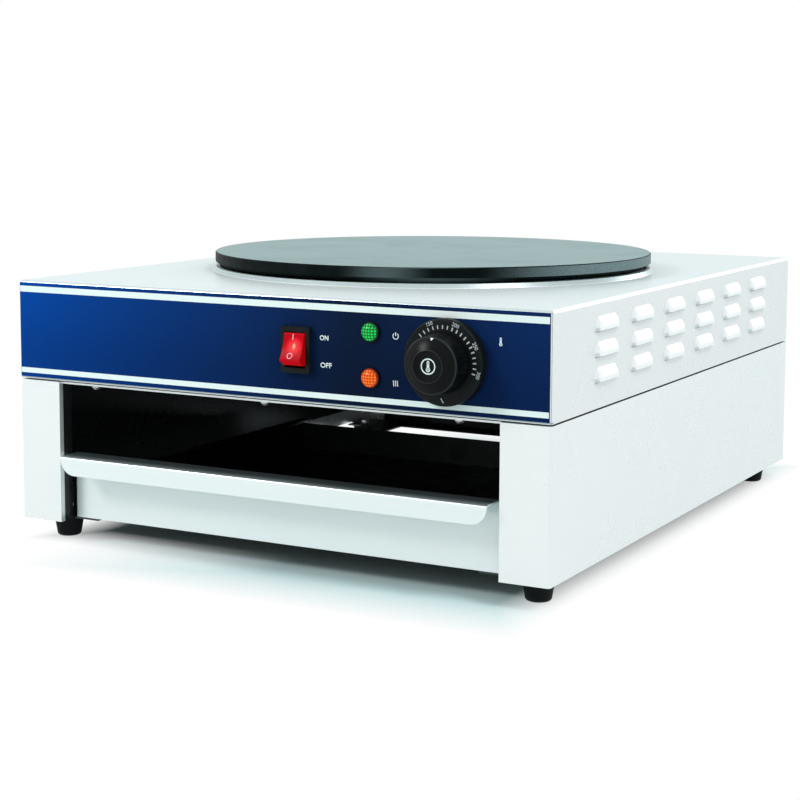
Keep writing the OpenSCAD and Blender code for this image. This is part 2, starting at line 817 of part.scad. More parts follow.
module thermostat_shaft() {
    color("silver") rod_y([dial_x, knob_y - knob_socket + 0.3, dial_z], shaft_d,
        wall_y + thermostat_depth / 2 - knob_y + knob_socket - 0.3);
}

module thermostat_body() {
    bush_l = dial_t - 0.5;
    lug = [6.3, 8, 0.8];
    back = wall_y + thermostat_depth;
    color("tan") difference() {
        union() {
            translate([dial_x - thermostat_w / 2, wall_y, dial_z - thermostat_w / 2])
                cube([thermostat_w, thermostat_depth, thermostat_w]);
            rod_y([dial_x, panel_y - bush_l, dial_z], bush_d, wall_y - panel_y + bush_l + CUT);
            for (x = [-1, 1], z = [-1, 0])
                translate([dial_x + x * 11 - lug[0] / 2, back - EPS, dial_z + z * 12]) cube(lug);
        }
        rod_y([dial_x, panel_y - bush_l - CUT, dial_z], shaft_d + 2 * FIT,
            bush_l + thermostat_depth / 2 + 2 * CUT + sheet);
        for (s = [-1, 1])
            rod_y([dial_x + s * thermostat_screw_pitch / 2, wall_y - CUT, dial_z],
                thermostat_screw_d, 8 + CUT);
    }
}

module thermostat_screws() {
    head_d = 7;
    head_t = 2.4;
    color("silver") for (s = [-1, 1])
        translate([dial_x + s * thermostat_screw_pitch / 2, 0, dial_z]) {
            rod_y([0, panel_y - head_t, 0], head_d, head_t);
            rod_y([0, panel_y - EPS, 0], thermostat_screw_d - 0.1, wall_y - panel_y + 7);
        }
}

// bulb against the plate, and the capillary down to the thermostat
bulb_y = plate_y - (loop_outer_r + loop_inner_r) / 2;
capillary_x = bulb_l / 2 + 8;
module thermostat_bulb() {
    drop_z = shield_z0 - 10;
    entry = [dial_x, wall_y + thermostat_depth, dial_z + 10];
    turn_in = entry + [0, 20, 0];
    turn_out = [entry[0] - 30, entry[1] + 45, drop_z];
    color("peru") {
        translate([-bulb_l / 2, bulb_y, bulb_z]) rotate([0, 90, 0]) cylinder(d = bulb_d, h = bulb_l);
        bent_rod([[bulb_l / 2 - 1, bulb_y, bulb_z], [capillary_x, bulb_y, bulb_z],
            [capillary_x, bulb_y, drop_z], turn_out, turn_in, entry], capillary_d);
    }
}

/* ---- cooking plate and heating ---- */

module cooking_plate() {
    low_z = cook_z - plate_rim;
    play = 0.1;
    color([0.13, 0.13, 0.14]) difference() {
        translate([0, plate_y, 0]) rotate_extrude($fn = 180)
            polygon([[0, plate_z0], [waist_r, plate_z0], [waist_r, low_z - plate_bevel], [plate_r, low_z],
                [plate_r, cook_z - plate_chamfer], [plate_r - plate_chamfer, cook_z], [0, cook_z]]);
        for (r = loop_end_r) {
            translate([0, plate_y, element_z]) rotate_extrude($fn = 120)
                translate([r, 0]) circle(d = element_d + 2 * play);
            for (side = [-1, 1])
                at_loop_ends(r, side) translate([0, 0, element_z]) sphere(d = elbow_d + 2 * play);
        }
        translate([-bulb_l / 2 - play, bulb_y, bulb_z]) rotate([0, 90, 0])
            cylinder(d = bulb_d + 2 * play, h = bulb_l + 2 * play);
        translate([capillary_x, bulb_y, plate_z0 - CUT])
            cylinder(d = 3 * capillary_d, h = CUT + 2 * capillary_d);
        at_studs() translate([0, 0, plate_z0 - CUT]) cylinder(d = stud_d, h = stud_sink + CUT);
    }
}

// angle between the ends of a heating loop, and its middle direction
loop_gap = 24;
loop_end_r = [loop_outer_r, loop_inner_r];
elbow_d = element_d + 1.2;
module at_loop_ends(r, side) {
    translate([0, plate_y, 0]) rotate([0, 0, -90 + side * loop_gap / 2]) translate([r, 0, 0]) children();
}

module heating_element() {
    pin_l = 9;
    tail_z = shield_z0 - 8;
    color([0.35, 0.36, 0.37]) for (r = loop_end_r) {
        translate([0, plate_y, element_z]) rotate([0, 0, -90 + loop_gap / 2])
            rotate_extrude(angle = 360 - loop_gap, $fn = 120) translate([r, 0]) circle(d = element_d);
        for (side = [-1, 1]) at_loop_ends(r, side) {
            translate([0, 0, element_z]) sphere(d = elbow_d);
            translate([0, 0, tail_z]) cylinder(d = element_d, h = element_z - tail_z);
            translate([0, 0, tail_z - pin_l]) cylinder(d = element_d / 3, h = pin_l + EPS);
        }
    }
}

// holes through the clamp, the insulation and the shield
module stack_holes(z, t) {
    play = 0.6;
    translate([0, 0, z - CUT]) {
        for (r = loop_end_r, side = [-1, 1])
            at_loop_ends(r, side) cylinder(d = element_d + play, h = t + 2 * CUT);
        translate([capillary_x, bulb_y, 0]) cylinder(d = capillary_d + play, h = t + 2 * CUT);
    }
}

module element_clamp() {
    color("silver") difference() {
        translate([0, plate_y, wool_z1]) cylinder(r = clamp_r, h = clamp_t, $fn = 120);
        stack_holes(wool_z1, clamp_t);
        translate([0, 0, wool_z1 - CUT]) at_studs() cylinder(d = stud_d + 0.6, h = clamp_t + 2 * CUT);
    }
}

module insulation_pad() {
    color([0.9, 0.88, 0.8]) difference() {
        translate([0, plate_y, shield_z1]) cylinder(r = wool_r, h = wool_t, $fn = 120);
        stack_holes(shield_z1, wool_t);
        translate([0, 0, shield_z1 - CUT]) at_studs() cylinder(d = spacer_d + 0.4, h = wool_t + 2 * CUT);
    }
}

module heat_shield() {
    color("silver") difference() {
        translate([0, plate_y, shield_z0])
            cylinder(r = wool_r + shield_t + 0.2, h = shield_t + wool_t, $fn = 120);
        translate([0, plate_y, shield_z1]) cylinder(r = wool_r + 0.2, h = wool_t + CUT, $fn = 120);
        stack_holes(shield_z0, shield_t);
        translate([0, 0, shield_z0 - CUT]) at_studs() cylinder(d = stud_d + 0.6, h = shield_t + 2 * CUT);
    }
}

module plate_studs() {
    tail = nut_h + 1.5;
    z0 = base_z1 - tail;
    color("silver") at_studs() translate([0, 0, z0])
        cylinder(d = stud_d - 0.1, h = plate_z0 + stud_sink - 0.5 - z0);
}

module spacer_tubes() {
    color("lightgray") at_studs() {
        for (span = [[cap_z0, shield_z0], [shield_z1, wool_z1]])
            translate([0, 0, span[0]]) difference() {
                cylinder(d = spacer_d, h = span[1] - span[0]);
                translate([0, 0, -CUT]) cylinder(d = stud_d + 0.6, h = span[1] - span[0] + 2 * CUT);
            }
    }
}

module stud_nuts() {
    color("silver") at_studs() translate([0, 0, base_z1 - nut_h]) difference() {
        cylinder(r = nut_flats / sqrt(3), h = nut_h, $fn = 6);
        translate([0, 0, -CUT]) cylinder(d = stud_d, h = nut_h + 2 * CUT);
    }
}

/* ---- mains entry ---- */

gland_z = cap_z0 + gland_rise;

module cable_gland() {
    hex_t = 8;
    flange_t = 2.5;
    neck_l = 2;
    inner_l = 14;
    shoulder_r = 4;
    cap_r = gland_flats / 2 - 0.5;
    cap_l = gland_out - flange_t - hex_t - neck_l;
    mouth_r = gland_bore_d / 2 + 2;
    color([0.12, 0.12, 0.13]) translate([gland_x, back_y, gland_z]) rotate([-90, 0, 0]) difference() {
        union() {
            translate([0, 0, -sheet - inner_l]) cylinder(d = gland_thread_d, h = sheet + inner_l + EPS);
            cylinder(d = gland_flats + 2, h = flange_t);
            translate([0, 0, flange_t - EPS]) cylinder(r = gland_flats / sqrt(3), h = hex_t + EPS, $fn = 6);
            translate([0, 0, flange_t + hex_t - EPS]) cylinder(r = cap_r - 2, h = neck_l + 2 * EPS);
            // domed cap that squeezes the seal
            translate([0, 0, gland_out - cap_l]) rotate_extrude() {
                polygon([[0, 0], [cap_r, 0], [cap_r, cap_l / 2], [cap_r - shoulder_r, cap_l / 2 + shoulder_r],
                    [mouth_r, cap_l], [0, cap_l]]);
                translate([cap_r - shoulder_r, cap_l / 2]) circle(shoulder_r);
            }
        }
        translate([0, 0, -sheet - inner_l - CUT])
            cylinder(d = gland_bore_d, h = gland_out + sheet + inner_l + 2 * CUT);
    }
}

module gland_nut() {
    nut_t = 5;
    color([0.12, 0.12, 0.13]) translate([gland_x, back_y - sheet, gland_z]) rotate([90, 0, 0]) difference() {
        cylinder(r = (gland_flats + 1) / sqrt(3), h = nut_t, $fn = 6);
        translate([0, 0, -CUT]) cylinder(d = gland_thread_d + 0.04, h = nut_t + 2 * CUT);
    }
}

ways = 3;
way_pitch = 16;
wire_way_d = 5;
wire_z = 6.5;
terminal_screw_d = 4;
block = [ways * way_pitch + 12, 24, 17];
block_place = [gland_x - block[0] / 2, back_y - block_in, cap_z0];

module terminal_block() {
    color("ivory") translate(block_place) difference() {
        union() {
            cube([block[0], block[1], 6]);
            translate([6, 0, 0]) cube([ways * way_pitch, block[1], block[2]]);
        }
        for (i = [0 : ways - 1])
            translate([6 + (i + 0.5) * way_pitch, -CUT, wire_z]) rotate([-90, 0, 0])
                cylinder(d = wire_way_d, h = block[1] + 2 * CUT);
        at_terminals() cylinder(d = terminal_screw_d + 0.1, h = block[2]);
    }
}

module at_terminals() {
    for (i = [0 : ways - 1], y = [0.25, 0.75])
        translate([6 + (i + 0.5) * way_pitch, y * block[1], wire_z]) children();
}

// clamping screws over the wire ways
module terminal_screws() {
    slot = [terminal_screw_d + CUT, 0.8, 1];
    top = block[2] - wire_z - 1.5;
    color("goldenrod") translate(block_place) at_terminals() difference() {
        translate([0, 0, 0.5]) cylinder(d = terminal_screw_d, h = top - 0.5);
        translate([-slot[0] / 2, -slot[1] / 2, top - slot[2]]) cube([slot[0], slot[1], slot[2] + CUT]);
    }
}

/* ---- drawer ---- */

module drawer_tray() {
    color("silver") difference() {
        translate([-tray_half, tray_y0, tray_z0]) cube([2 * tray_half, tray_d, tray_h]);
        translate([-tray_half + drawer_sheet, tray_y0 + drawer_sheet, tray_z0 + drawer_sheet])
            cube([2 * (tray_half - drawer_sheet), tray_d - 2 * drawer_sheet, tray_h]);
    }
}

// outline of the pull seen from the front: round lower corners
module pull_outline() {
    half = drawer_half - pull_inset;
    low = drawer_z1 - pull_lip;
    translate([-half, low + pull_corner]) square([2 * half, pull_lip - pull_corner + CUT]);
    translate([-half + pull_corner, low]) square([2 * (half - pull_corner), pull_lip + CUT]);
    for (x = [-1, 1]) translate([x * (half - pull_corner), low + pull_corner]) circle(pull_corner);
}

// section of the pull: up behind, forward over the top, down in front
module pull_section() {
    back = drawer_y + drawer_sheet;
    lip = drawer_y - pull_reach;
    depth = back - lip;
    difference() {
        translate([(back + lip) / 2, drawer_z1 - depth]) arch(depth, depth, fold_r);
        translate([(back + lip) / 2, drawer_z1 - depth - CUT])
            arch(depth - 2 * drawer_sheet, depth - drawer_sheet + CUT, fold_r - drawer_sheet);
    }
}

module drawer_front() {
    h = drawer_front_h - fold_r;
    color("gainsboro") {
        // face with a fold along each side
        sheet_at(drawer_z0, h) difference() {
            translate([0, drawer_y + drawer_fold]) intersection() {
                round_rect(2 * drawer_half, 2 * drawer_fold, fold_r);
                translate([0, -drawer_fold]) square([2 * drawer_half, 2 * drawer_fold], center = true);
            }
            translate([0, drawer_y + drawer_fold + CUT])
                round_rect(2 * (drawer_half - drawer_sheet), 2 * (drawer_fold - drawer_sheet + CUT),
                    fold_r - drawer_sheet);
        }
        intersection() {
            rotate([90, 0, 90]) translate([0, 0, -drawer_half]) linear_extrude(2 * drawer_half)
                pull_section();
            translate([0, drawer_y + 2 * drawer_sheet, 0]) rotate([90, 0, 0])
                linear_extrude(pull_reach + 3 * drawer_sheet) pull_outline();
        }
    }
}

// rivets between the drawer's front and the tray's front wall
module drawer_rivets() {
    pitch = 150;
    color("silver") for (i = [-1, 0, 1])
        translate([i * pitch, tray_y0 + drawer_sheet, tray_z0 + tray_h / 2]) rotate([-90, 0, 0])
            rotate_extrude() polygon([[0, 0], [3.2, 0], [2.2, 1.3], [0, 1.3]]);
}

lower_housing();
rear_panel();
runner_left();
runner_right();
base_pan();
top_housing();
control_panel();
switch_body();
switch_rocker();
power_lamp_body();
power_lamp_lens();
heat_lamp_body();
heat_lamp_lens();
dial_plate();
control_knob();
thermostat_shaft();
thermostat_body();
thermostat_screws();
thermostat_bulb();
cooking_plate();
heating_element();
element_clamp();
insulation_pad();
heat_shield();
plate_studs();
spacer_tubes();
stud_nuts();
terminal_block();
terminal_screws();
cable_gland();
gland_nut();
drawer_tray();
drawer_front();
drawer_rivets();
foot_front_left();
foot_front_right();
foot_rear_left();
foot_rear_right();
foot_nuts();
housing_screws();
back_screws();
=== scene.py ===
import logging
import math
from abc import ABC, abstractmethod
from dataclasses import dataclass
from enum import Enum
from functools import cached_property
from typing import Callable, ClassVar, Sequence, Union

import bmesh
import bpy
from mathutils import Matrix, Vector


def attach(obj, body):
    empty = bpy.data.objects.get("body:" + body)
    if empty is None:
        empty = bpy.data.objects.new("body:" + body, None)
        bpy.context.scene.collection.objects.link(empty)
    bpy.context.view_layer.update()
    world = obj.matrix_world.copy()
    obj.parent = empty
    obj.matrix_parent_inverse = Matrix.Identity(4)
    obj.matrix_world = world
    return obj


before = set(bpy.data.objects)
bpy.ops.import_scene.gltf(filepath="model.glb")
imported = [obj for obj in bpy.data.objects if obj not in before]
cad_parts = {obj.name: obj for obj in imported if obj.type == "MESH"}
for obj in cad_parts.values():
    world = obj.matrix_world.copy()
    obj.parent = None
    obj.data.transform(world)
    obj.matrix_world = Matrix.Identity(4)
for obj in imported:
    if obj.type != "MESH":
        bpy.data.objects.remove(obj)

LOG = logging.getLogger("crepe_maker")
MM = 0.001
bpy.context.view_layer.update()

Point = tuple[float, float]
Spot = tuple[float, float, float]
Colour = tuple[float, float, float]
Feed = Union["Wire", float, Sequence[float]]
Feeds = dict[Union[str, int], Feed]
Surface = Callable[[float, float, float], Vector]

ORIGIN: Spot = (0.0, 0.0, 0.0)
NOISE_SPAN: Point = (0.3, 0.7)
NOISE_CORE: Point = (0.35, 0.65)
SEEING_RAYS = ("Camera", "Glossy", "Transmission")


# ---------------------------------------------------------------- shader graph


class Wire:
    """The value on a socket. Sums, masks and the like are made of it by nodes of its own graph."""

    def __init__(self, graph: "Graph", socket: bpy.types.NodeSocket) -> None:
        """Keeps the graph and the socket."""
        self.graph = graph
        self.socket = socket

    def reckon(self, operation: str, *others: Feed) -> "Wire":
        """Returns what a Math node makes of the value, or a Vector Math node of a vector."""
        way = self.graph.vector if self.socket.type == "VECTOR" else self.graph.maths
        return way(operation, self, *others)

    def __add__(self, other: Feed) -> "Wire":
        """Returns the sum."""
        return self.reckon("ADD", other)

    def __sub__(self, other: Feed) -> "Wire":
        """Returns the difference."""
        return self.reckon("SUBTRACT", other)

    def __mul__(self, other: Feed) -> "Wire":
        """Returns the product, which keeps what two masks share."""
        return self.reckon("MULTIPLY", other)

    def __truediv__(self, other: Feed) -> "Wire":
        """Returns the quotient."""
        return self.reckon("DIVIDE", other)

    def __or__(self, other: Feed) -> "Wire":
        """Returns the larger value, which joins two masks."""
        return self.reckon("MAXIMUM", other)

    def __gt__(self, bound: Feed) -> "Wire":
        """Returns 1 above a bound and 0 below it."""
        return self.reckon("GREATER_THAN", bound)

    def __lt__(self, bound: Feed) -> "Wire":
        """Returns 1 below a bound and 0 above it."""
        return self.reckon("LESS_THAN", bound)

    def __abs__(self) -> "Wire":
        """Returns the value without its sign."""
        return self.reckon("ABSOLUTE")

    def wrapped(self, pitch: float) -> "Wire":
        """Returns the value repeated at a pitch, with 0 in the middle of each step."""
        return self.reckon("WRAP", pitch / 2, -pitch / 2)

    def length(self) -> "Wire":
        """Returns the length of a vector."""
        return self.graph.add("ShaderNodeVectorMath", {0: self}, "Value", operation="LENGTH")

    def scaled(self, size: Feed) -> "Wire":
        """Returns a vector times a number."""
        return self.graph.add("ShaderNodeVectorMath", {0: self, 3: size}, operation="SCALE")

    def fit(self, low: float, high: float, start: Feed = 0.0, end: Feed = 1.0,
            soft: bool = True) -> "Wire":
        """Maps low to high onto start to end and holds it there, its ends eased if soft."""
        return self.graph.add("ShaderNodeMapRange", {0: self, 1: low, 2: high, 3: start, 4: end},
                              interpolation_type="SMOOTHSTEP" if soft else "LINEAR", clamp=True)

    def spread(self, start: float = 0.0, end: float = 1.0) -> "Wire":
        """Returns the middle span of a noise, mapped onto another range."""
        return self.fit(*NOISE_SPAN, start, end)

    def near(self, centre: float, full: float, none: float, share: float = 1.0) -> "Wire":
        """Returns a mask of share near a value, which fades to 0 from full to none away from it."""
        return abs(self - centre if centre else self).fit(full, none, share, 0.0)


class Graph:
    """The nodes of one material or one effect, and the steps they are wired with."""

    def __init__(self, tree: bpy.types.NodeTree) -> None:
        """Keeps the tree that the nodes go into."""
        self.tree = tree

    def feed(self, target: bpy.types.NodeSocket, value: Feed) -> None:
        """Links a value to an input, or sets the input's own value.

        Args:
            target: The input.
            value: A wire, a number, a vector or a colour.
        """
        if isinstance(value, Wire):
            self.tree.links.new(value.socket, target)
        elif target.type == "RGBA":
            target.default_value = (*value, 1.0)
        else:
            target.default_value = value

    def node(self, kind: str, feeds: Feeds, **settings: object) -> bpy.types.Node:
        """Adds a node.

        Args:
            kind: The node's Blender type.
            feeds: What each input takes, by the input's name or number.
            settings: The node's own properties.

        Returns:
            The new node.
        """
        node = self.tree.nodes.new(kind)
        for name, value in settings.items():
            setattr(node, name, value)
        for key, value in feeds.items():
            self.feed(node.inputs[key], value)
        return node

    def add(self, kind: str, feeds: Feeds, output: Union[str, int] = 0, **settings: object) -> Wire:
        """Adds a node as node does, and returns one of its outputs."""
        return Wire(self, self.node(kind, feeds, **settings).outputs[output])

    def maths(self, operation: str, first: Feed, second: Feed = 0.0, third: Feed = 0.0) -> Wire:
        """Returns the output of a Math node."""
        return self.add("ShaderNodeMath", {0: first, 1: second, 2: third}, operation=operation)

    def vector(self, operation: str, first: Feed, second: Feed = ORIGIN) -> Wire:
        """Returns the output of a Vector Math node."""
        return self.add("ShaderNodeVectorMath", {0: first, 1: second}, operation=operation)

    def axes(self, value: Wire) -> list[Wire]:
        """Returns a vector's parts along X, Y and Z."""
        return [Wire(self, part) for part in self.node("ShaderNodeSeparateXYZ", {0: value}).outputs]

    def blend(self, mask: Feed, below: Feed, above: Feed, way: str = "MIX") -> Wire:
        """Returns the colour below where the mask is 0 and the colour above where it is 1."""
        return self.add("ShaderNodeMix", {0: mask, 6: below, 7: above}, 2,
                        data_type="RGBA", blend_type=way)

    def noise(self, place: Wire, scale: float, detail: float = 2.0, rough: float = 0.5) -> Wire:
        """Returns a noise of 0 to 1 at a place."""
        feeds = {"Vector": place, "Scale": scale, "Detail": detail, "Roughness": rough}
        return self.add("ShaderNodeTexNoise", feeds)

    def bump(self, height: Wire, strength: float, depth: float) -> Wire:
        """Returns a normal bumped by a height, depth in metres."""
        return self.add("ShaderNodeBump",
                        {"Height": height, "Strength": strength, "Distance": depth})

    @cached_property
    def place(self) -> Wire:
        """The point on the piece in metres, which moves with the piece."""
        return self.add("ShaderNodeTexCoord", {}, "Object")

    def facing(self) -> Wire:
        """Returns the way the piece's surface faces, which turns with the piece."""
        return self.add("ShaderNodeTexCoord", {}, "Normal")

    def seen(self) -> Wire:
        """Returns 1 where a thing is seen, also reflected or through glass, and 0 for light."""
        rays = [self.add("ShaderNodeLightPath", {}, f"Is {kind} Ray") for kind in SEEING_RAYS]
        return rays[0] | (rays[1] | rays[2])


def toned(colour: Colour, share: float) -> Colour:
    """Returns a colour made lighter or darker by a share."""
    return tuple(part * share for part in colour)


class Effect(ABC):
    """A node group that is built once and put into each material that shows the effect.

    The class names its inputs and their first values in takes, and its outputs in gives.
    """

    title: ClassVar[str]
    takes: ClassVar[dict[str, Union[float, Spot]]]
    gives: ClassVar[tuple[str, ...]]

    @abstractmethod
    def wire(self, graph: Graph, *takes: Wire) -> Sequence[Wire]:
        """Wires the effect.

        Args:
            graph: The group's graph.
            takes: Its inputs, in their order.

        Returns:
            What its outputs give, in their order.
        """

    def group(self) -> bpy.types.NodeTree:
        """Builds the effect's node group on first use.

        Returns:
            The group.
        """
        tree = bpy.data.node_groups.get(self.title)
        if tree is None:
            tree = bpy.data.node_groups.new(self.title, "ShaderNodeTree")
            for name, value in self.takes.items():
                kind = "NodeSocketFloat" if isinstance(value, float) else "NodeSocketVector"
                tree.interface.new_socket(
                    name=name, in_out="INPUT", socket_type=kind).default_value = value
            for name in self.gives:
                tree.interface.new_socket(name=name, in_out="OUTPUT", socket_type="NodeSocketFloat")
            graph = Graph(tree)
            inputs = graph.node("NodeGroupInput", {}).outputs
            given = self.wire(graph, *(Wire(graph, inputs[name]) for name in self.takes))
            graph.node("NodeGroupOutput", dict(zip(self.gives, given)))
        return tree

    def put(self, graph: Graph, **feeds: Feed) -> list[Wire]:
        """Puts the effect into a material.

        Args:
            graph: The material's graph.
            feeds: What the inputs take, by their names. Place is the point on the piece unless
                it is given.

        Returns:
            What the outputs give, in their order.
        """
        feeds = {"Place": graph.place, **feeds}
        outputs = graph.node("ShaderNodeGroup", feeds, node_tree=self.group()).outputs
        return [Wire(graph, outputs[name]) for name in self.gives]


class BrushLines(Effect):
    """Fine lines left by a belt grinder: level on the walls, front to back on the top."""

    title = "brush_lines"
    takes = {"Place": ORIGIN, "Facing": ORIGIN, "Pitch": 900.0, "Run": 9.0}
    gives = ("Lines", "Bands")
    level: ClassVar[float] = 0.7

    def wire(self, graph: Graph, *takes: Wire) -> Sequence[Wire]:
        """Stretches noise along the belt's way.

        Args:
            graph: The group's graph.
            takes: Its inputs, in their order.

        Returns:
            The fine lines and the broad bands.
        """
        place, facing, pitch, run = takes
        x, y, z = graph.axes(place)
        up = abs(graph.axes(facing)[2]) > self.level
        x_scale, z_scale = (up.fit(0.0, 1.0, *ends, soft=False)
                            for ends in ((run, pitch), (pitch, run)))
        stretched = graph.add("ShaderNodeCombineXYZ", {0: x * x_scale, 1: y * run, 2: z * z_scale})
        return graph.noise(stretched, 1.0, 3.0, 0.6), graph.noise(stretched, 0.11, 2.0, 0.5)


class Handling(Effect):
    """Wiped hand marks on a surface that is touched and cleaned."""

    title = "handling"
    takes = {"Place": ORIGIN, "Size": 14.0}
    gives = ("Smudge",)

    def wire(self, graph: Graph, *takes: Wire) -> Sequence[Wire]:
        """Warps one noise by another.

        Args:
            graph: The group's graph.
            takes: Its inputs, in their order.

        Returns:
            The wiped marks.
        """
        place, size = takes
        scaled = place.scaled(size)
        warp = graph.add("ShaderNodeTexNoise", {"Vector": scaled, "Scale": 0.7, "Detail": 1.0},
                         "Color")
        return [graph.noise(scaled + warp, 1.0, 4.0, 0.6).fit(0.42, 0.68)]


class MouldGrain(Effect):
    """The even fine grain of a spark-eroded mould, or of cast iron at a larger size."""

    title = "mould_grain"
    takes = {"Place": ORIGIN, "Size": 1500.0}
    gives = ("Grain", "Mottle")

    def wire(self, graph: Graph, *takes: Wire) -> Sequence[Wire]:
        """Returns a fine noise and a soft one twenty times its size."""
        scaled = takes[0].scaled(takes[1])
        return graph.noise(scaled, 1.0, 2.0, 0.6), graph.noise(scaled, 0.05, 3.0, 0.5)


class TurnedRings(Effect):
    """Fine rings round an axis, as a lathe or a wiping hand leaves them."""

    title = "turned_rings"
    takes = {"Place": ORIGIN, "Centre": ORIGIN, "Across": (1.0, 1.0, 0.0), "Pitch": 900.0}
    gives = ("Rings", "Radius")

    def wire(self, graph: Graph, *takes: Wire) -> Sequence[Wire]:
        """Makes noise along the distance from the axis.

        Args:
            graph: The group's graph.
            takes: Its inputs, in their order.

        Returns:
            The rings, and the distance from the axis.
        """
        place, centre, across, pitch = takes
        away = (place - centre) * across
        radius = away.length()
        drift = graph.noise(away, 30.0, 1.0)
        line = graph.add("ShaderNodeCombineXYZ", {0: radius * pitch, 1: drift * 0.8})
        return graph.noise(line, 1.0, 2.0, 0.6), radius


class Slab(Effect):
    """A mask that is 1 inside a box and 0 outside it."""

    title = "slab"
    takes = {"Place": ORIGIN, "Middle": ORIGIN, "Half": (0.1, 0.1, 0.1), "Soft": 0.0002}
    gives = ("Inside",)

    def wire(self, graph: Graph, *takes: Wire) -> Sequence[Wire]:
        """Returns the distance outside the box, compared with the softness."""
        place, middle, half, soft = takes
        return [(((abs(place - middle) - half) | ORIGIN).length() / soft).fit(0.0, 1.0, 1.0, 0.0)]


class Glow(Effect):
    """A mask that is 1 at a point and fades to 0 at a radius, wider along some axes."""

    title = "glow"
    takes = {"Place": ORIGIN, "Middle": ORIGIN, "Reach": (0.01, 0.01, 0.01)}
    gives = ("Glow",)

    def wire(self, graph: Graph, *takes: Wire) -> Sequence[Wire]:
        """Returns a mask that fades with the distance measured in reaches."""
        place, middle, reach = takes
        return [((place - middle) / reach).length().fit(0.0, 1.0, 1.0, 0.0)]


class PrismDots(Effect):
    """The square grid of small moulded prisms inside a lamp's lens, seen from the front."""

    title = "prism_dots"
    takes = {"Place": ORIGIN, "Pitch": 0.0023}
    gives = ("Dots",)

    def wire(self, graph: Graph, *takes: Wire) -> Sequence[Wire]:
        """Multiplies a wave across by a wave up.

        Args:
            graph: The group's graph.
            takes: Its inputs, in their order.

        Returns:
            The grid's mask.
        """
        place, pitch = takes
        x, _, z = graph.axes(place)
        turn = graph.maths("DIVIDE", math.pi, pitch)
        return [abs((x * turn).reckon("SINE") * (z * turn).reckon("SINE")).fit(0.30, 0.80)]


# -------------------------------------------------------------------- finishes


class Finish(ABC):
    """A surface finish, made into a material on first use."""

    title: str

    @abstractmethod
    def shader(self, graph: Graph) -> Wire:
        """Wires the finish and returns its shader."""

    def material(self) -> bpy.types.Material:
        """Makes the finish's material on first use.

        Returns:
            The material.
        """
        made = bpy.data.materials.get(self.title)
        if made is None:
            made = bpy.data.materials.new(self.title)
            made.use_nodes = True
            made.node_tree.nodes.clear()
            graph = Graph(made.node_tree)
            graph.node("ShaderNodeOutputMaterial", {"Surface": self.shader(graph)})
        return made

    def cover(self, piece: bpy.types.Object) -> None:
        """Gives the finish to a piece, in place of all it had."""
        piece.data.materials.clear()
        piece.data.materials.append(self.material())

    def dress(self, *names: str) -> None:
        """Gives the finish to CAD nodes.

        Args:
            names: The nodes' names.
        """
        for name in names:
            self.cover(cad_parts[name])
            LOG.info("%s: %s", name, self.title)


class SolidFinish(Finish):
    """A finish made with one Principled shader."""

    @abstractmethod
    def surface(self, graph: Graph) -> Feeds:
        """Wires the surface.

        Args:
            graph: The material's graph.

        Returns:
            What the shader takes.
        """

    def shader(self, graph: Graph) -> Wire:
        """Returns the shader of the surface."""
        return graph.add("ShaderNodeBsdfPrincipled", self.surface(graph))


@dataclass
class Sheet:
    """A steel sheet while its finish is wired: how far it faces up, its colour and its painted
    shade.
    """

    up: Wire
    base: Wire
    # the painted shade mask
    shaded: Wire


@dataclass(frozen=True)
class BrushedSteel(SolidFinish):
    """Finely brushed stainless sheet, with painted shade on its top and where it faces a closed-in
    space.
    """

    title: str
    tint: Colour = (0.790, 0.806, 0.812)
    # painted shade: this colour darkens the sheet where it faces up
    top: Colour = (0.815, 0.90, 0.905)
    # painted shade: the colour given to the sheet inside the box of middle and inner_half
    shade: Colour = (0.030, 0.034, 0.036)
    sheen: Colour = (0.80, 0.88, 0.89)
    metallic: float = 0.50
    top_share: float = 0.6
    roughness: float = 0.26
    top_roughness: float = 0.38
    up_span: Point = (0.55, 0.95)
    line_pitch: float = 1100.0
    line_run: float = 260.0
    smudge_share: float = 0.03
    middle: Spot = ORIGIN
    inner_half: Spot = ORIGIN

    def surface(self, graph: Graph) -> Feeds:
        """Wires brush lines, hand marks, the rougher top darkened by painted shade, and painted
        shade inside the box of inner_half.

        Args:
            graph: The material's graph.

        Returns:
            What the shader takes.
        """
        facing = graph.facing()
        up = graph.axes(facing)[2].fit(*self.up_span)
        lines, bands = BrushLines().put(
            graph, Facing=facing, Pitch=self.line_pitch, Run=self.line_run)
        smudge, = Handling().put(graph, Size=11.0)
        # painted shade mask, 1 inside the box of middle and inner_half
        shaded, = Slab().put(graph, Middle=self.middle, Half=self.inner_half)
        tone = (lines * 0.5 + bands * 0.5).spread()
        bright = graph.blend(tone, toned(self.tint, 0.994), toned(self.tint, 1.005))
        wiped = graph.blend(smudge * self.smudge_share, bright, toned(self.tint, 0.85))
        # the top darkened by painted shade, and made rougher and less metallic below
        top_shaded = graph.blend(up, wiped, graph.blend(1.0, wiped, self.top, "MULTIPLY"))
        sheet = Sheet(up, top_shaded, shaded)
        self.detail(graph, sheet)
        return {"Base Color": graph.blend(sheet.shaded, sheet.base, self.shade),
                "Metallic": up.fit(0.0, 1.0, self.metallic, self.metallic * self.top_share),
                "Roughness": (up.fit(0.0, 1.0, self.roughness, self.top_roughness)
                              + smudge * self.smudge_share),
                "Specular IOR Level": 0.25, "Specular Tint": self.sheen,
                "Normal": graph.bump(lines, 0.006, 0.00010)}

    def detail(self, graph: Graph, sheet: Sheet) -> None:
        """Changes the colour or the painted shade of some sheets, here nothing."""


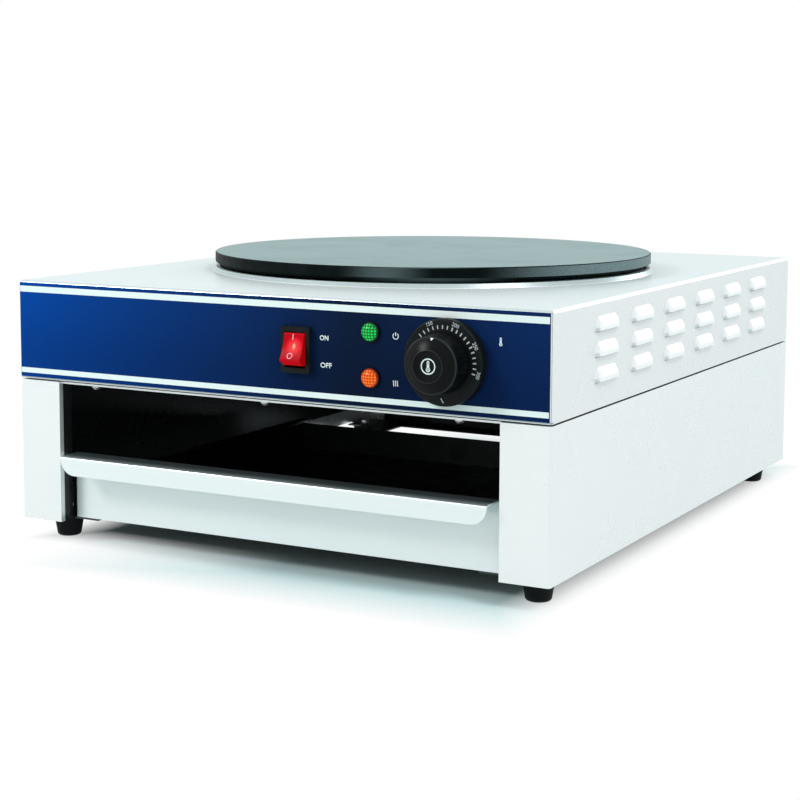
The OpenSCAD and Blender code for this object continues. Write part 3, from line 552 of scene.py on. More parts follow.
@dataclass(frozen=True)
class OpenFoot(BrushedSteel):
    """The lower housing's sheet, whose painted shade inside is left off the side walls low down."""

    clear_below: float = 0.034
    clear_beyond: float = 0.2450

    def detail(self, graph: Graph, sheet: Sheet) -> None:
        """Leaves the painted shade off the walls' inner faces below the height of clear_below.

        Args:
            graph: The material's graph.
            sheet: The sheet, whose painted shade is changed.
        """
        x, _, z = graph.axes(graph.place)
        # where the painted shade is left off: low on the side walls
        low = (z < self.clear_below) * (abs(x) > self.clear_beyond)
        sheet.shaded = sheet.shaded - sheet.shaded * low


@dataclass(frozen=True)
class LouvredSteel(BrushedSteel):
    """The upper housing's sheet, with painted highlights on the louvres and along the top's side
    edges, and painted shade along its front edge, on the collar, along the hem and below each
    louvre.

    Each pair of lengths says how far from a line or a face its tint starts to fade and ends.
    """

    # painted highlight: the colour of the louvres
    hood: Colour = (0.86, 0.890, 0.890)
    # painted highlight along the top's rounded edges at the sides
    bend: Colour = (0.96, 0.985, 0.985)
    # painted shade on the raised collar round the plate
    ring: Colour = (0.44, 0.52, 0.53)
    # painted shade along the top's rounded edge at the front
    brow: Colour = (0.52, 0.60, 0.61)
    # painted shadow lines: along the hem at the front and below each louvre
    line: Colour = (0.36, 0.44, 0.46)
    wall_x: float = 0.2475
    hood_out: Point = (0.0010, 0.0032)
    top_z: float = 0.2245
    bend_down: Point = (0.0023, 0.0019)
    bend_inset: float = 0.0028
    face_skin: float = 0.00003
    ring_up: float = 0.0003
    hem_z: float = 0.1420
    hem_half: Point = (0.0004, 0.0008)
    front_y: float = -0.2915
    lowest_z: float = 0.1612
    row_pitch: float = 0.0198
    rows_half: Point = (0.0300, 0.0305)
    column_pitch: float = 0.0765
    columns_half: Point = (0.2165, 0.2170)
    line_half: Point = (0.0004, 0.0011)
    hood_half: Point = (0.0215, 0.0245)
    notch_y: float = -0.0222
    notch_z: float = 0.0018
    notch_half_y: Point = (0.0012, 0.0028)
    notch_half_z: Point = (0.0008, 0.0022)
    notch_share: float = 0.7
    mark_share: float = 0.8
    mark_inset: float = 0.0004

    def detail(self, graph: Graph, sheet: Sheet) -> None:
        """Paints highlights on the louvres and the top's side edges, painted shade on its front
        edge, the collar and the hem, and painted shadow lines and notches.

        Args:
            graph: The material's graph.
            sheet: The sheet, whose colour is changed.
        """
        x, y, z = graph.axes(graph.place)
        out, ahead = abs(x), y < self.front_y
        # painted highlight mask on the louvres, out past the wall
        hood_highlight_mask = out.fit(*(self.wall_x + reach for reach in self.hood_out))
        # mask of the top's rounded edge, where painted highlight or painted shade goes
        painted_bend_mask = (z.fit(*(self.top_z - depth for depth in self.bend_down))
                * (z < self.top_z - self.face_skin))
        painted_fold = graph.blend(out > self.wall_x - self.bend_inset, sheet.base, self.bend)
        # painted shade at the front edge of the top
        painted_fold = graph.blend(ahead, painted_fold, self.brow)
        lit = graph.blend(painted_bend_mask, graph.blend(hood_highlight_mask, sheet.base, self.hood), painted_fold)
        # painted shade on everything above the top, the collar round the plate
        lit = graph.blend(z > self.top_z + self.ring_up, lit, self.ring)
        # painted shadow line along the hem at the front
        lit = graph.blend(ahead * z.near(self.hem_z, *self.hem_half), lit, self.line)
        # painted shadows below the louvres
        sheet.base = graph.blend(self.louvre_marks(out, y, z) * self.mark_share, lit, self.line)

    def louvre_marks(self, out: Wire, y: Wire, z: Wire) -> Wire:
        """Paints a shadow line below each louvre and a shaded notch at its front end.

        Args:
            out: The distance from the housing's middle to either side.
            y: The place from front to back.
            z: The height.

        Returns:
            The painted shadows.
        """
        along = (y - self.column_pitch / 2).wrapped(self.column_pitch)
        above = (z - self.lowest_z).wrapped(self.row_pitch)
        # painted shadow line below each louvre, and painted shade in the notch at its front end
        shadow_under = above.near(0.0, *self.line_half) * along.near(0.0, *self.hood_half)
        notch_shade = (along.near(self.notch_y, *self.notch_half_y)
                 * above.near(self.notch_z, *self.notch_half_z))
        zone = (out > self.wall_x - self.mark_inset) * y.near(0.0, *self.columns_half)
        zone = zone * z.near(self.lowest_z + self.row_pitch, *self.rows_half)
        return (shadow_under | notch_shade * self.notch_share) * zone


@dataclass(frozen=True)
class PullSteel(BrushedSteel):
    """The drawer's front, with painted shade on the flange behind the pull's edge."""

    # painted shade on the flange: the darker colour at the back, the lighter one at the front edge
    dull: Colour = (0.040, 0.052, 0.054)
    edge: Colour = (0.14, 0.17, 0.175)
    edge_y: float = -0.3005
    edge_depth: float = 0.008

    def detail(self, graph: Graph, sheet: Sheet) -> None:
        """Paints shade on the flange that faces up, less at its front edge.

        Args:
            graph: The material's graph.
            sheet: The sheet, whose colour is changed.
        """
        back = graph.axes(graph.place)[1].fit(
            self.edge_y, self.edge_y + self.edge_depth, soft=False)
        # painted shade on the flange
        flange = graph.blend(back, self.edge, self.dull)
        sheet.base = graph.blend(sheet.up.fit(0.0, 0.05), sheet.base, flange)


@dataclass(frozen=True)
class PrintedPanel(SolidFinish):
    """Blue enamel print on the control panel, with painted light: lightest at the far end, darkest
    near the lamps and lighter towards the top.
    """

    title: str = "panel_blue_print"
    # painted light: the lit blue at the far end, the shaded blue, and the blue past the lamps
    clear: Colour = (0.0010, 0.046, 0.262)
    deep: Colour = (0.0032, 0.0095, 0.030)
    near: Colour = (0.0030, 0.0170, 0.078)
    half_width: float = 0.2459
    deepest: float = 0.075
    low_z: float = 0.15275
    high_z: float = 0.21775

    def surface(self, graph: Graph) -> Feeds:
        """Wires painted light as the change of blue along and up the panel, the print's fine
        speckle and hand marks.

        Args:
            graph: The material's graph.

        Returns:
            What the shader takes.
        """
        x, _, z = graph.axes(graph.place)
        smudge, = Handling().put(graph, Size=24.0)
        grain, mottle = MouldGrain().put(graph, Size=900.0)
        along = x.fit(-self.half_width, self.deepest, soft=False).reckon("POWER", 0.8)
        past = x.fit(self.deepest, self.half_width)
        blue = graph.blend(past, graph.blend(along, self.clear, self.deep), self.near)
        # painted light: the blue made lighter towards the top
        lit_blue = graph.blend(1.0, blue, z.fit(self.low_z, self.high_z, 0.92, 1.25), "MULTIPLY")
        return {"Base Color": graph.blend(grain.fit(0.35, 0.7, 0.0, 0.16), lit_blue,
                                          toned(self.deep, 0.55)),
                "Roughness": mottle.spread(0.34, 0.42) + smudge * 0.10,
                "Specular IOR Level": 0.02, "Normal": graph.bump(grain, 0.05, 0.00006)}


@dataclass(frozen=True)
class SatinPlastic(SolidFinish):
    """Black moulded plastic with a fine mould grain."""

    title: str
    tint: Colour = (0.0034, 0.0042, 0.0046)
    roughness: float = 0.36
    specular: float = 0.09

    def surface(self, graph: Graph) -> Feeds:
        """Wires the grain and the polish left by fingers.

        Args:
            graph: The material's graph.

        Returns:
            What the shader takes.
        """
        grain, mottle = MouldGrain().put(graph, Size=1500.0)
        smudge, = Handling().put(graph, Size=60.0)
        rough = grain.spread(self.roughness - 0.03, self.roughness + 0.06)
        return {"Base Color": graph.blend(mottle.fit(*NOISE_CORE, 0.0, 0.5), self.tint,
                                          toned(self.tint, 1.7)),
                "Roughness": rough - smudge * 0.06, "Specular IOR Level": self.specular,
                "Normal": graph.bump(grain, 0.12, 0.00006)}


@dataclass(frozen=True)
class TurnedPlastic(SolidFinish):
    """Black plastic with the fine rings of its turned mould round the knob's axis."""

    title: str = "knob_black_plastic"
    low: Colour = (0.0022, 0.0030, 0.0034)
    high: Colour = (0.0058, 0.0072, 0.0078)
    # painted highlight on the edges of the dish and the dome
    rubbed: Colour = (0.026, 0.032, 0.034)
    centre: Spot = (0.1625, -0.3, 0.18195)
    dish_radius: float = 0.0122
    brow_radius: float = 0.0212
    edge_width: float = 0.0008

    def surface(self, graph: Graph) -> Feeds:
        """Wires rings that are stronger in the dish, and a painted highlight on the edges of the
        dish and the dome.

        Args:
            graph: The material's graph.

        Returns:
            What the shader takes.
        """
        rings, radius = TurnedRings().put(
            graph, Centre=self.centre, Across=(1.0, 0.0, 1.0), Pitch=1900.0)
        grain, _ = MouldGrain().put(graph, Size=1700.0)
        ridged = rings * radius.fit(self.dish_radius, self.dish_radius + 0.0003, 1.0, 0.15)
        plain = graph.blend(ridged.fit(0.2, 0.7), self.low, self.high)
        # painted highlight masks at the edges of the dish and the dome
        dish, brow = (radius.near(edge, 0.0, self.edge_width, share)
                      for edge, share in ((self.dish_radius, 0.7), (self.brow_radius, 1.0)))
        return {"Base Color": graph.blend(dish | brow, plain, self.rubbed),
                "Roughness": grain.spread(0.27, 0.34), "Specular IOR Level": 0.09,
                "Normal": graph.bump(ridged + grain * 0.25, 0.14, 0.00010)}


@dataclass(frozen=True)
class LitRocker(SolidFinish):
    """Clear red plastic over a small neon lamp that shines through its middle."""

    title: str = "rocker_lit_red"
    body: Colour = (0.030, 0.0005, 0.0010)
    far: Colour = (0.52, 0.0030, 0.008)
    red: Colour = (0.95, 0.006, 0.024)
    halo: Colour = (1.0, 0.085, 0.080)
    core: Colour = (1.0, 0.62, 0.42)
    side: Colour = (0.30, 0.0006, 0.0016)
    middle: Spot = (0.0327, -0.3034, 0.1860)
    wide_reach: Spot = (0.012, 0.030, 0.0105)
    halo_reach: Spot = (0.0078, 0.014, 0.0078)
    core_reach: Spot = (0.0019, 0.012, 0.0034)
    side_x: float = 0.0404
    rib_pitch: float = 0.0016

    def surface(self, graph: Graph) -> Feeds:
        """Wires the lamp's glow, pale at the middle and red around it, the ribs and the dim side.

        Args:
            graph: The material's graph.

        Returns:
            What the shader takes.
        """
        wide, halo, core = (Glow().put(graph, Middle=self.middle, Reach=reach)[0]
                            for reach in (self.wide_reach, self.halo_reach, self.core_reach))
        grain, mottle = MouldGrain().put(graph, Size=1200.0)
        x = graph.axes(graph.place)[0]
        ribs = (x * (2 * math.pi / self.rib_pitch)).reckon("SINE").fit(-1.0, 1.0, 0.86, 1.0)
        lit = graph.blend(wide.fit(0.0, 0.75), self.far, self.red)
        lit = graph.blend(core, graph.blend(halo, lit, self.halo), self.core)
        shown = graph.blend(x > self.side_x, graph.blend(1.0, lit, ribs, "MULTIPLY"), self.side)
        return {"Base Color": self.body, "Roughness": mottle.spread(0.16, 0.24),
                "Specular IOR Level": 0.02, "Emission Color": shown, "Emission Strength": 0.95,
                "Normal": graph.bump(grain, 0.05, 0.00005)}


@dataclass(frozen=True)
class PrismLens(SolidFinish):
    """Coloured lamp lens with a grid of prisms behind it, lit from within."""

    title: str
    middle: Spot
    body: Colour
    rim: Colour
    gap: Colour
    dot: Colour
    reach: Spot = (0.0078, 0.02, 0.0078)

    def surface(self, graph: Graph) -> Feeds:
        """Wires the lit prism grid and the dark rim.

        Args:
            graph: The material's graph.

        Returns:
            What the shader takes.
        """
        glow, = Glow().put(graph, Middle=self.middle, Reach=self.reach)
        dots, = PrismDots().put(graph, Place=graph.place - self.middle)
        _, mottle = MouldGrain().put(graph, Size=2200.0)
        shown = graph.blend(glow.fit(0.02, 0.13), self.rim, graph.blend(dots, self.gap, self.dot))
        return {"Base Color": self.body, "Roughness": mottle.spread(0.10, 0.18),
                "Specular IOR Level": 0.22, "Emission Color": shown, "Emission Strength": 0.92,
                "Normal": graph.bump(dots, 0.12, 0.0002)}


@dataclass(frozen=True)
class CoatedIron(SolidFinish):
    """Cast iron with a dark satin coating: smooth on its face, blacker and rougher on its rim."""

    title: str = "plate_coated_iron"
    face_low: Colour = (0.068, 0.090, 0.094)
    face_high: Colour = (0.076, 0.100, 0.104)
    rim_low: Colour = (0.0012, 0.0026, 0.0028)
    rim_high: Colour = (0.0036, 0.0060, 0.0064)
    # painted highlight on the rim, on its right side and front
    rubbed: Colour = (0.180, 0.258, 0.270)
    sheen: Colour = (0.73, 1.0, 1.0)
    centre: Spot = (0.0, -0.007, 0.0)
    front_x: float = 0.27

    def surface(self, graph: Graph) -> Feeds:
        """Wires the face's sheen and faint rings, the rim's casting grain and a painted highlight
        on its right side and front.

        Args:
            graph: The material's graph.

        Returns:
            What the shader takes.
        """
        x, y, z = graph.axes(graph.facing())
        face = z.fit(0.80, 0.97)
        rings, _ = TurnedRings().put(graph, Centre=self.centre, Pitch=500.0)
        grain, mottle = MouldGrain().put(graph, Size=900.0)
        smudge, = Handling().put(graph, Size=16.0)
        # masks of the painted highlight on the rim
        side = x.fit(0.62, 0.97) * grain.spread(0.75, 1.15)
        front = x.near(self.front_x, 0.0, 0.20, 0.32) * (y < 0.0)
        rim = graph.blend(mottle.fit(*NOISE_CORE), self.rim_low, self.rim_high)
        painted_rim_sheen = graph.blend(side * 0.85 | front, rim, self.rubbed)
        top = graph.blend(rings.fit(*NOISE_CORE), self.face_low, self.face_high)
        return {"Base Color": graph.blend(face, painted_rim_sheen, top), "Metallic": face,
                "Roughness": face.fit(0.0, 1.0, 0.46, 0.24) + smudge * 0.02,
                "Specular IOR Level": 0.05, "Specular Tint": self.sheen,
                "Normal": graph.bump(grain, 0.03, 0.00008)}


@dataclass(frozen=True)
class PlainMetal(SolidFinish):
    """Unpolished metal, such as zinc-plated sheet, screws, brass or copper."""

    title: str
    tint: Colour
    dull: Colour
    roughness: float = 0.36
    size: float = 320.0

    def surface(self, graph: Graph) -> Feeds:
        """Wires a spangle of two tones, tarnish and a fine grain.

        Args:
            graph: The material's graph.

        Returns:
            What the shader takes.
        """
        cells = graph.add("ShaderNodeTexVoronoi", {"Vector": graph.place, "Scale": self.size},
                          "Color")
        spangle = graph.add("ShaderNodeSeparateColor", {0: cells})
        smudge, = Handling().put(graph, Size=30.0)
        grain, _ = MouldGrain().put(graph, Size=1800.0)
        plated = graph.blend(spangle.fit(0.0, 1.0, 0.0, 0.35, soft=False), self.tint, self.dull)
        rough = spangle.fit(0.0, 1.0, self.roughness - 0.05, self.roughness + 0.05)
        return {"Base Color": graph.blend(smudge * 0.5, plated, self.dull), "Metallic": 1.0,
                "Roughness": rough + smudge * 0.12, "Normal": graph.bump(grain, 0.12, 0.00006)}


@dataclass(frozen=True)
class HeatedSheath(SolidFinish):
    """The element's steel sheath, browned and blued by heat."""

    title: str = "element_heated_sheath"
    brown: Colour = (0.19, 0.13, 0.085)
    grey: Colour = (0.11, 0.105, 0.11)
    blue: Colour = (0.07, 0.085, 0.13)

    def surface(self, graph: Graph) -> Feeds:
        """Wires bands of oxide colour along the tube.

        Args:
            graph: The material's graph.

        Returns:
            What the shader takes.
        """
        grain, _ = MouldGrain().put(graph, Size=600.0)
        heat = graph.noise(graph.place, 26.0, 3.0)
        warm = graph.blend(heat.fit(0.35, 0.55), self.brown, self.grey)
        return {"Base Color": graph.blend(heat.fit(0.55, 0.70), warm, self.blue), "Metallic": 1.0,
                "Roughness": grain.spread(0.42, 0.58), "Normal": graph.bump(grain, 0.25, 0.00008)}


@dataclass(frozen=True)
class MineralBoard(SolidFinish):
    """Matt mineral matter, from pressed fibre wool to glazed ceramic."""

    title: str
    tint: Colour
    dark: Colour
    roughness: float
    size: float
    depth: float

    def surface(self, graph: Graph) -> Feeds:
        """Wires matted fibres or grains of two tones.

        Args:
            graph: The material's graph.

        Returns:
            What the shader takes.
        """
        grain, mottle = MouldGrain().put(graph, Size=self.size)
        return {"Base Color": graph.blend(grain.spread(), self.dark, self.tint),
                "Roughness": mottle.spread(self.roughness - 0.06, self.roughness + 0.06),
                "Normal": graph.bump(grain, 0.5, self.depth)}


@dataclass(frozen=True)
class FootRubber(SolidFinish):
    """Black rubber, dusty where it meets the worktop."""

    title: str = "foot_black_rubber"
    tint: Colour = (0.006, 0.0075, 0.008)
    dust: Colour = (0.10, 0.105, 0.105)
    dust_height: float = 0.004

    def surface(self, graph: Graph) -> Feeds:
        """Wires the rubber's grain and the dust at its base.

        Args:
            graph: The material's graph.

        Returns:
            What the shader takes.
        """
        grain, mottle = MouldGrain().put(graph, Size=1300.0)
        low = graph.axes(graph.place)[2].fit(0.0, self.dust_height, 0.35, 0.0)
        return {"Base Color": graph.blend(low * mottle, self.tint, self.dust),
                "Roughness": grain.spread(0.52, 0.66), "Specular IOR Level": 0.10,
                "Normal": graph.bump(grain, 0.3, 0.00010)}


@dataclass(frozen=True)
class PrintInk(SolidFinish):
    """Opaque screen-printed ink, slightly uneven."""

    title: str = "ink_white"
    tint: Colour = (0.76, 0.85, 0.83)

    def surface(self, graph: Graph) -> Feeds:
        """Wires the ink's thin places.

        Args:
            graph: The material's graph.

        Returns:
            What the shader takes.
        """
        grain, mottle = MouldGrain().put(graph, Size=1600.0)
        return {"Base Color": graph.blend(grain.spread(0.0, 0.25), self.tint,
                                          toned(self.tint, 0.86)),
                "Roughness": mottle.spread(0.42, 0.52), "Specular IOR Level": 0.2}


@dataclass(frozen=True)
class StudioFloor(Finish):
    """White floor with a darker matt patch round the object, painted shade on which the real shadow
    falls, and that is clear from below.

    Each pair says at what distance from the middle the shadow's floor gives way and has ended.
    """

    title: str = "studio_white_floor"
    # painted shade: the matt patch round the object is darker than the white floor
    matt: Colour = (0.53, 0.68, 0.69)
    white: Colour = (1.0, 1.0, 1.0)
    front: Point = (0.295, 0.370)
    sides: Point = (0.200, 0.250)
    left_front: Point = (0.235, 0.295)
    left: Point = (0.0, -0.200)

    def shader(self, graph: Graph) -> Wire:
        """Wires a darker matt floor, painted shade round the object, that gives way to even white
        ahead of it and at its sides, nearer at the left front.

        Args:
            graph: The material's graph.

        Returns:
            The floor's shader.
        """
        x, y, _ = graph.axes(graph.place)
        ahead = abs(y)
        # painted light: the white covers part of the real shadow under the sides and at the left
        # front
        corner = ahead.fit(*self.left_front, soft=False) * x.fit(*self.left, soft=False)
        far = (ahead.fit(*self.front, soft=False) | abs(x).fit(*self.sides, soft=False)) | corner
        matt = graph.add("ShaderNodeBsdfDiffuse", {"Color": self.matt})
        white = graph.add("ShaderNodeEmission", {"Color": self.white, "Strength": 1.0})
        above = graph.add("ShaderNodeMixShader", {0: far * graph.seen(), 1: matt, 2: white})
        below = graph.add("ShaderNodeNewGeometry", {}, "Backfacing")
        clear = graph.add("ShaderNodeBsdfTransparent", {})
        return graph.add("ShaderNodeMixShader", {0: below, 1: above, 2: clear})


# ----------------------------------------------------------------- printed marks


def stand(name: str, data: bpy.types.ID) -> bpy.types.Object:
    """Puts a new object into the scene.

    Args:
        name: The object's name.
        data: Its mesh, lamp, camera or curve.

    Returns:
        The object.
    """
    made = bpy.data.objects.new(name, data)
    bpy.context.scene.collection.objects.link(made)
    return made


def panel_point(front: float) -> Surface:
    """Returns where a mark's point lies on a plane that faces the user, front in mm."""
    return lambda x, z, lift: Vector((x, front - lift, z)) * MM


@dataclass
class Marks:
    """Flat printed shapes gathered into one thin mesh. Sizes are in mm, x to the right and z up."""

    name: str
    thickness: float = 0.1
    sunk: float = 0.02
    arc_step: float = 8.0

    def __post_init__(self) -> None:
        """Starts with an empty mesh."""
        self.mesh = bmesh.new()

    def strip(self, left: Sequence[Point], right: Sequence[Point], closed: bool = False) -> None:
        """Adds a band of faces between two lines, which may meet at an end.

        Args:
            left: Points along one edge.
            right: Points along the other edge, to the right of the first on the way along it.
            closed: Whether the band joins its own start.
        """
        pairs = [[self.mesh.verts.new((*point, 0.0)) for point in pair]
                 for pair in zip(left, right)]
        after = pairs[1:] + pairs[:1] if closed else pairs[1:]
        for (a, b), (c, d) in zip(pairs, after):
            self.mesh.faces.new([a, b, d, c])

    def ring(self, centre: Point, outer: float, inner: float, start: float = 0.0,
             sweep: float = 360.0) -> None:
        """Adds a ring or an arc.

        Args:
            centre: The middle of the ring.
            outer: The outer radius.
            inner: The inner radius.
            start: Where an arc starts, in degrees clockwise from the top.
            sweep: How far it runs clockwise.
        """
        steps = max(6, round(sweep / self.arc_step))
        closed = sweep >= 360.0
        angles = [math.radians(start + sweep * i / steps)
                  for i in range(steps if closed else steps + 1)]
        edges = [[(centre[0] + r * math.sin(a), centre[1] + r * math.cos(a)) for a in angles]
                 for r in (outer, inner)]
        self.strip(*edges, closed)

    def bar(self, start: Point, end: Point, width: float, steps: int = 1) -> None:
        """Adds a straight bar.

        Args:
            start: The middle of one end.
            end: The middle of the other end.
            width: The bar's width.
            steps: How many faces it has along its length.
        """
        way = Vector(end) - Vector(start)
        side = Vector((-way.y, way.x)).normalized() * width / 2
        line = [Vector(start) + way * i / steps for i in range(steps + 1)]
        self.strip([tuple(p + side) for p in line], [tuple(p - side) for p in line])

    def words(self, text: str, centre: Point, height: float, turn: float = 0.0, bold: float = 0.0,
              stretch: float = 1.0) -> None:
        """Adds plain letters or figures.

        Args:
            text: What they say.
            centre: The middle of the words.
            height: The height of a capital or a figure.
            turn: How far they turn clockwise, in degrees.
            bold: How much their strokes are thickened.
            stretch: How much wider than usual they are set.
        """
        curve = bpy.data.curves.new(self.name + "_words", "FONT")
        curve.body, curve.resolution_u, curve.offset = text, 3, bold
        holder = stand(curve.name, curve)
        graph = bpy.context.evaluated_depsgraph_get()
        shape = bpy.data.meshes.new_from_object(holder.evaluated_get(graph))
        bpy.data.objects.remove(holder)
        bpy.data.curves.remove(curve)
        xs, ys = [v.co.x for v in shape.vertices], [v.co.y for v in shape.vertices]
        middle = Vector(((min(xs) + max(xs)) / 2, (min(ys) + max(ys)) / 2, 0.0))
        scale = height / (max(ys) - min(ys))
        shape.transform(Matrix.Translation((*centre, 0.0))
                        @ Matrix.Rotation(-math.radians(turn), 4, "Z")
                        @ Matrix.Diagonal((scale * stretch, scale, scale, 1.0))
                        @ Matrix.Translation(-middle))
        self.mesh.from_mesh(shape)
        bpy.data.meshes.remove(shape)

    def thicken(self) -> None:
        """Lifts the flat faces to the marks' thickness and closes them below."""
        bmesh.ops.remove_doubles(self.mesh, verts=self.mesh.verts[:], dist=1e-4)
        tops, faces = self.mesh.verts[:], self.mesh.faces[:]
        rims = [(loop.vert, loop.link_loop_next.vert) for face in faces for loop in face.loops
                if loop.edge.is_boundary]
        feet = {top: self.mesh.verts.new((top.co.x, top.co.y, -self.sunk)) for top in tops}
        for top in tops:
            top.co.z = self.thickness
        for face in faces:
            self.mesh.faces.new([feet[v] for v in reversed(face.verts)])
        for start, end in rims:
            self.mesh.faces.new([end, start, feet[start], feet[end]])

    def lay(self, surface: Surface, finish: Finish, body: str) -> None:
        """Thickens the marks, lays them on a surface and makes them a piece.

        Args:
            surface: Gives the point in metres for x, z and the height above the surface in mm.
            finish: The marks' finish.
            body: The CAD body that they move with.
        """
        self.thicken()
        for vertex in self.mesh.verts:
            vertex.co = surface(*vertex.co)
        shape = bpy.data.meshes.new(self.name)
        self.mesh.to_mesh(shape)
        self.mesh.free()
        piece = stand(self.name, shape)
        finish.cover(piece)
        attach(piece, body)
        LOG.info("%s: %s, %d faces, on %s", self.name, finish.title, len(shape.polygons), body)


def draw_thermometer(marks: Marks, centre: Point, height: float, line: float) -> None:
    """Draws the outline of a thermometer with its column.

    Args:
        marks: The sheet that it is drawn on.
        centre: The middle of the sign.
        height: The height of the sign.
        line: The width of its lines.
    """
    x, z = centre
    bulb, stem = height * 0.21, height * 0.12
    low, top = z - height / 2 + bulb, z + height / 2 - stem
    gap = math.degrees(math.asin(stem / bulb))
    marks.ring((x, low), bulb, bulb - line, gap, 360.0 - 2 * gap)
    marks.ring((x, top), stem, stem - line, -90.0, 180.0)
    neck = low + bulb * math.cos(math.radians(gap)) - line * 0.3
    for side in (-1, 1):
        wall = x + side * (stem - line / 2)
        marks.bar((wall, neck), (wall, top), line)
    marks.ring((x, low), (bulb - line) * 0.55, 0.05)
    marks.bar((x, low), (x, top - height * 0.22), line * 0.7)


# --------------------------------------------------------------- sub-assemblies


STEEL_PARTS = PlainMetal("screw_zinc_steel", (0.60, 0.62, 0.63), (0.36, 0.37, 0.38), 0.33)
INNER_STEEL = PlainMetal(
    "inner_galvanised_steel", (0.42, 0.44, 0.45), (0.24, 0.25, 0.26), 0.42, 90.0)
WHITE_INK = PrintInk()
BLACK_PLASTIC = SatinPlastic("black_moulded_plastic")


@dataclass
class Housing:
    """The folded shell: lower and upper housing, back panel, runners, pan, feet and screws."""

    # boxes of painted shade inside the lower housing, the top housing and the back panel
    lower_middle: Spot = (0.0, 0.0, 0.0797)
    lower_half: Spot = (0.24675, 0.2900, 0.1)
    roof_middle: Spot = (0.0, 0.0, 0.182)
    roof_half: Spot = (0.24675, 0.29425, 0.041)
    back_middle: Spot = (0.0, 0.0, 0.1)
    back_half: Spot = (0.3, 0.2931, 0.2)

    def dress(self) -> None:
        """Gives each folded sheet its steel finish with painted shade inside, the runners and pan a
        dark steel as painted shade, and dresses the feet and screws.
        """
        OpenFoot("housing_brushed_steel", tint=(0.826, 0.853, 0.853), middle=self.lower_middle,
                 inner_half=self.lower_half).dress("lower_housing")
        LouvredSteel("hood_brushed_steel", shade=(0.16, 0.17, 0.175), middle=self.roof_middle,
                     inner_half=self.roof_half).dress("top_housing")
        BrushedSteel("back_brushed_steel", middle=self.back_middle,
                     inner_half=self.back_half).dress("rear_panel")
        # dark steel on the runners and pan, painted shade in the compartment
        PlainMetal("compartment_dark_steel", (0.085, 0.092, 0.095), (0.045, 0.05, 0.052), 0.45,
                   70.0).dress("runner_left", "runner_right", "base_pan")
        FootRubber().dress(*(f"foot_{end}_{side}"
                             for end in ("front", "rear") for side in ("left", "right")))
        STEEL_PARTS.dress("foot_nuts", "housing_screws", "back_screws")
        BLACK_PLASTIC.dress("cable_gland", "gland_nut")


@dataclass
class ControlPanel:
    """The printed front panel with its stripes, switch words and pictograms."""

    front: float = -295.8
    stripe_half: float = 245.5
    upper_stripe: Point = (214.8, 219.9)
    lower_stripe: Point = (145.7, 150.1)
    word_height: float = 4.1
    on_place: Point = (55.5, 193.2)
    off_place: Point = (57.3, 171.9)
    power_place: Point = (118.5, 198.4)
    heat_place: Point = (118.5, 162.2)
    power_ring: Point = (2.6, 2.0)
    power_gap: float = 70.0
    power_bar: Point = (0.2, 2.9)
    wave_pitch: float = 1.7
    wave_ring: Point = (1.45, 0.85)
    wave_line: float = 0.6
    dial_sign: Point = (206.3, 199.5)
    dial_sign_size: Point = (6.4, 0.55)

    def dress(self) -> None:
        """Gives the panel its blue print and lays its marks."""
        PrintedPanel().dress("control_panel")
        self.stripes()
        self.signs()

    def stripes(self) -> None:
        """Lays the two white stripes from end to end of the panel."""
        marks = Marks("panel_stripes", 0.06)
        for low, high in (self.lower_stripe, self.upper_stripe):
            middle = (low + high) / 2
            marks.bar((-self.stripe_half, middle), (self.stripe_half, middle), high - low, 24)
        marks.lay(panel_point(self.front), WHITE_INK, "housing")

    def signs(self) -> None:
        """Lays the words of the switch and a plain pictogram beside each lamp and the dial."""
        marks = Marks("panel_signs")
        marks.words("ON", self.on_place, self.word_height, bold=0.022, stretch=0.92)
        marks.words("OFF", self.off_place, self.word_height, bold=0.022, stretch=1.08)
        self.power_sign(marks)
        self.heat_sign(marks)
        draw_thermometer(marks, self.dial_sign, *self.dial_sign_size)
        marks.lay(panel_point(self.front), WHITE_INK, "housing")

    def power_sign(self, marks: Marks) -> None:
        """Draws an open ring with a bar in its gap."""
        marks.ring(self.power_place, *self.power_ring, self.power_gap / 2, 360.0 - self.power_gap)
        marks.bar(*((self.power_place[0], self.power_place[1] + up) for up in self.power_bar), 0.65)

    def heat_sign(self, marks: Marks) -> None:
        """Draws three rising waves, each of two arcs and the slope between them.

        Args:
            marks: The sheet that they are drawn on.
        """
        middle, z = self.heat_place
        for x in (middle - self.wave_pitch, middle, middle + self.wave_pitch):
            marks.ring((x + 0.9, z + 1.3), *self.wave_ring, 225.0, 90.0)
            marks.ring((x - 0.9, z - 1.3), *self.wave_ring, 45.0, 90.0)
            marks.bar((x + 0.12, z + 0.55), (x - 0.12, z - 0.55), self.wave_line)


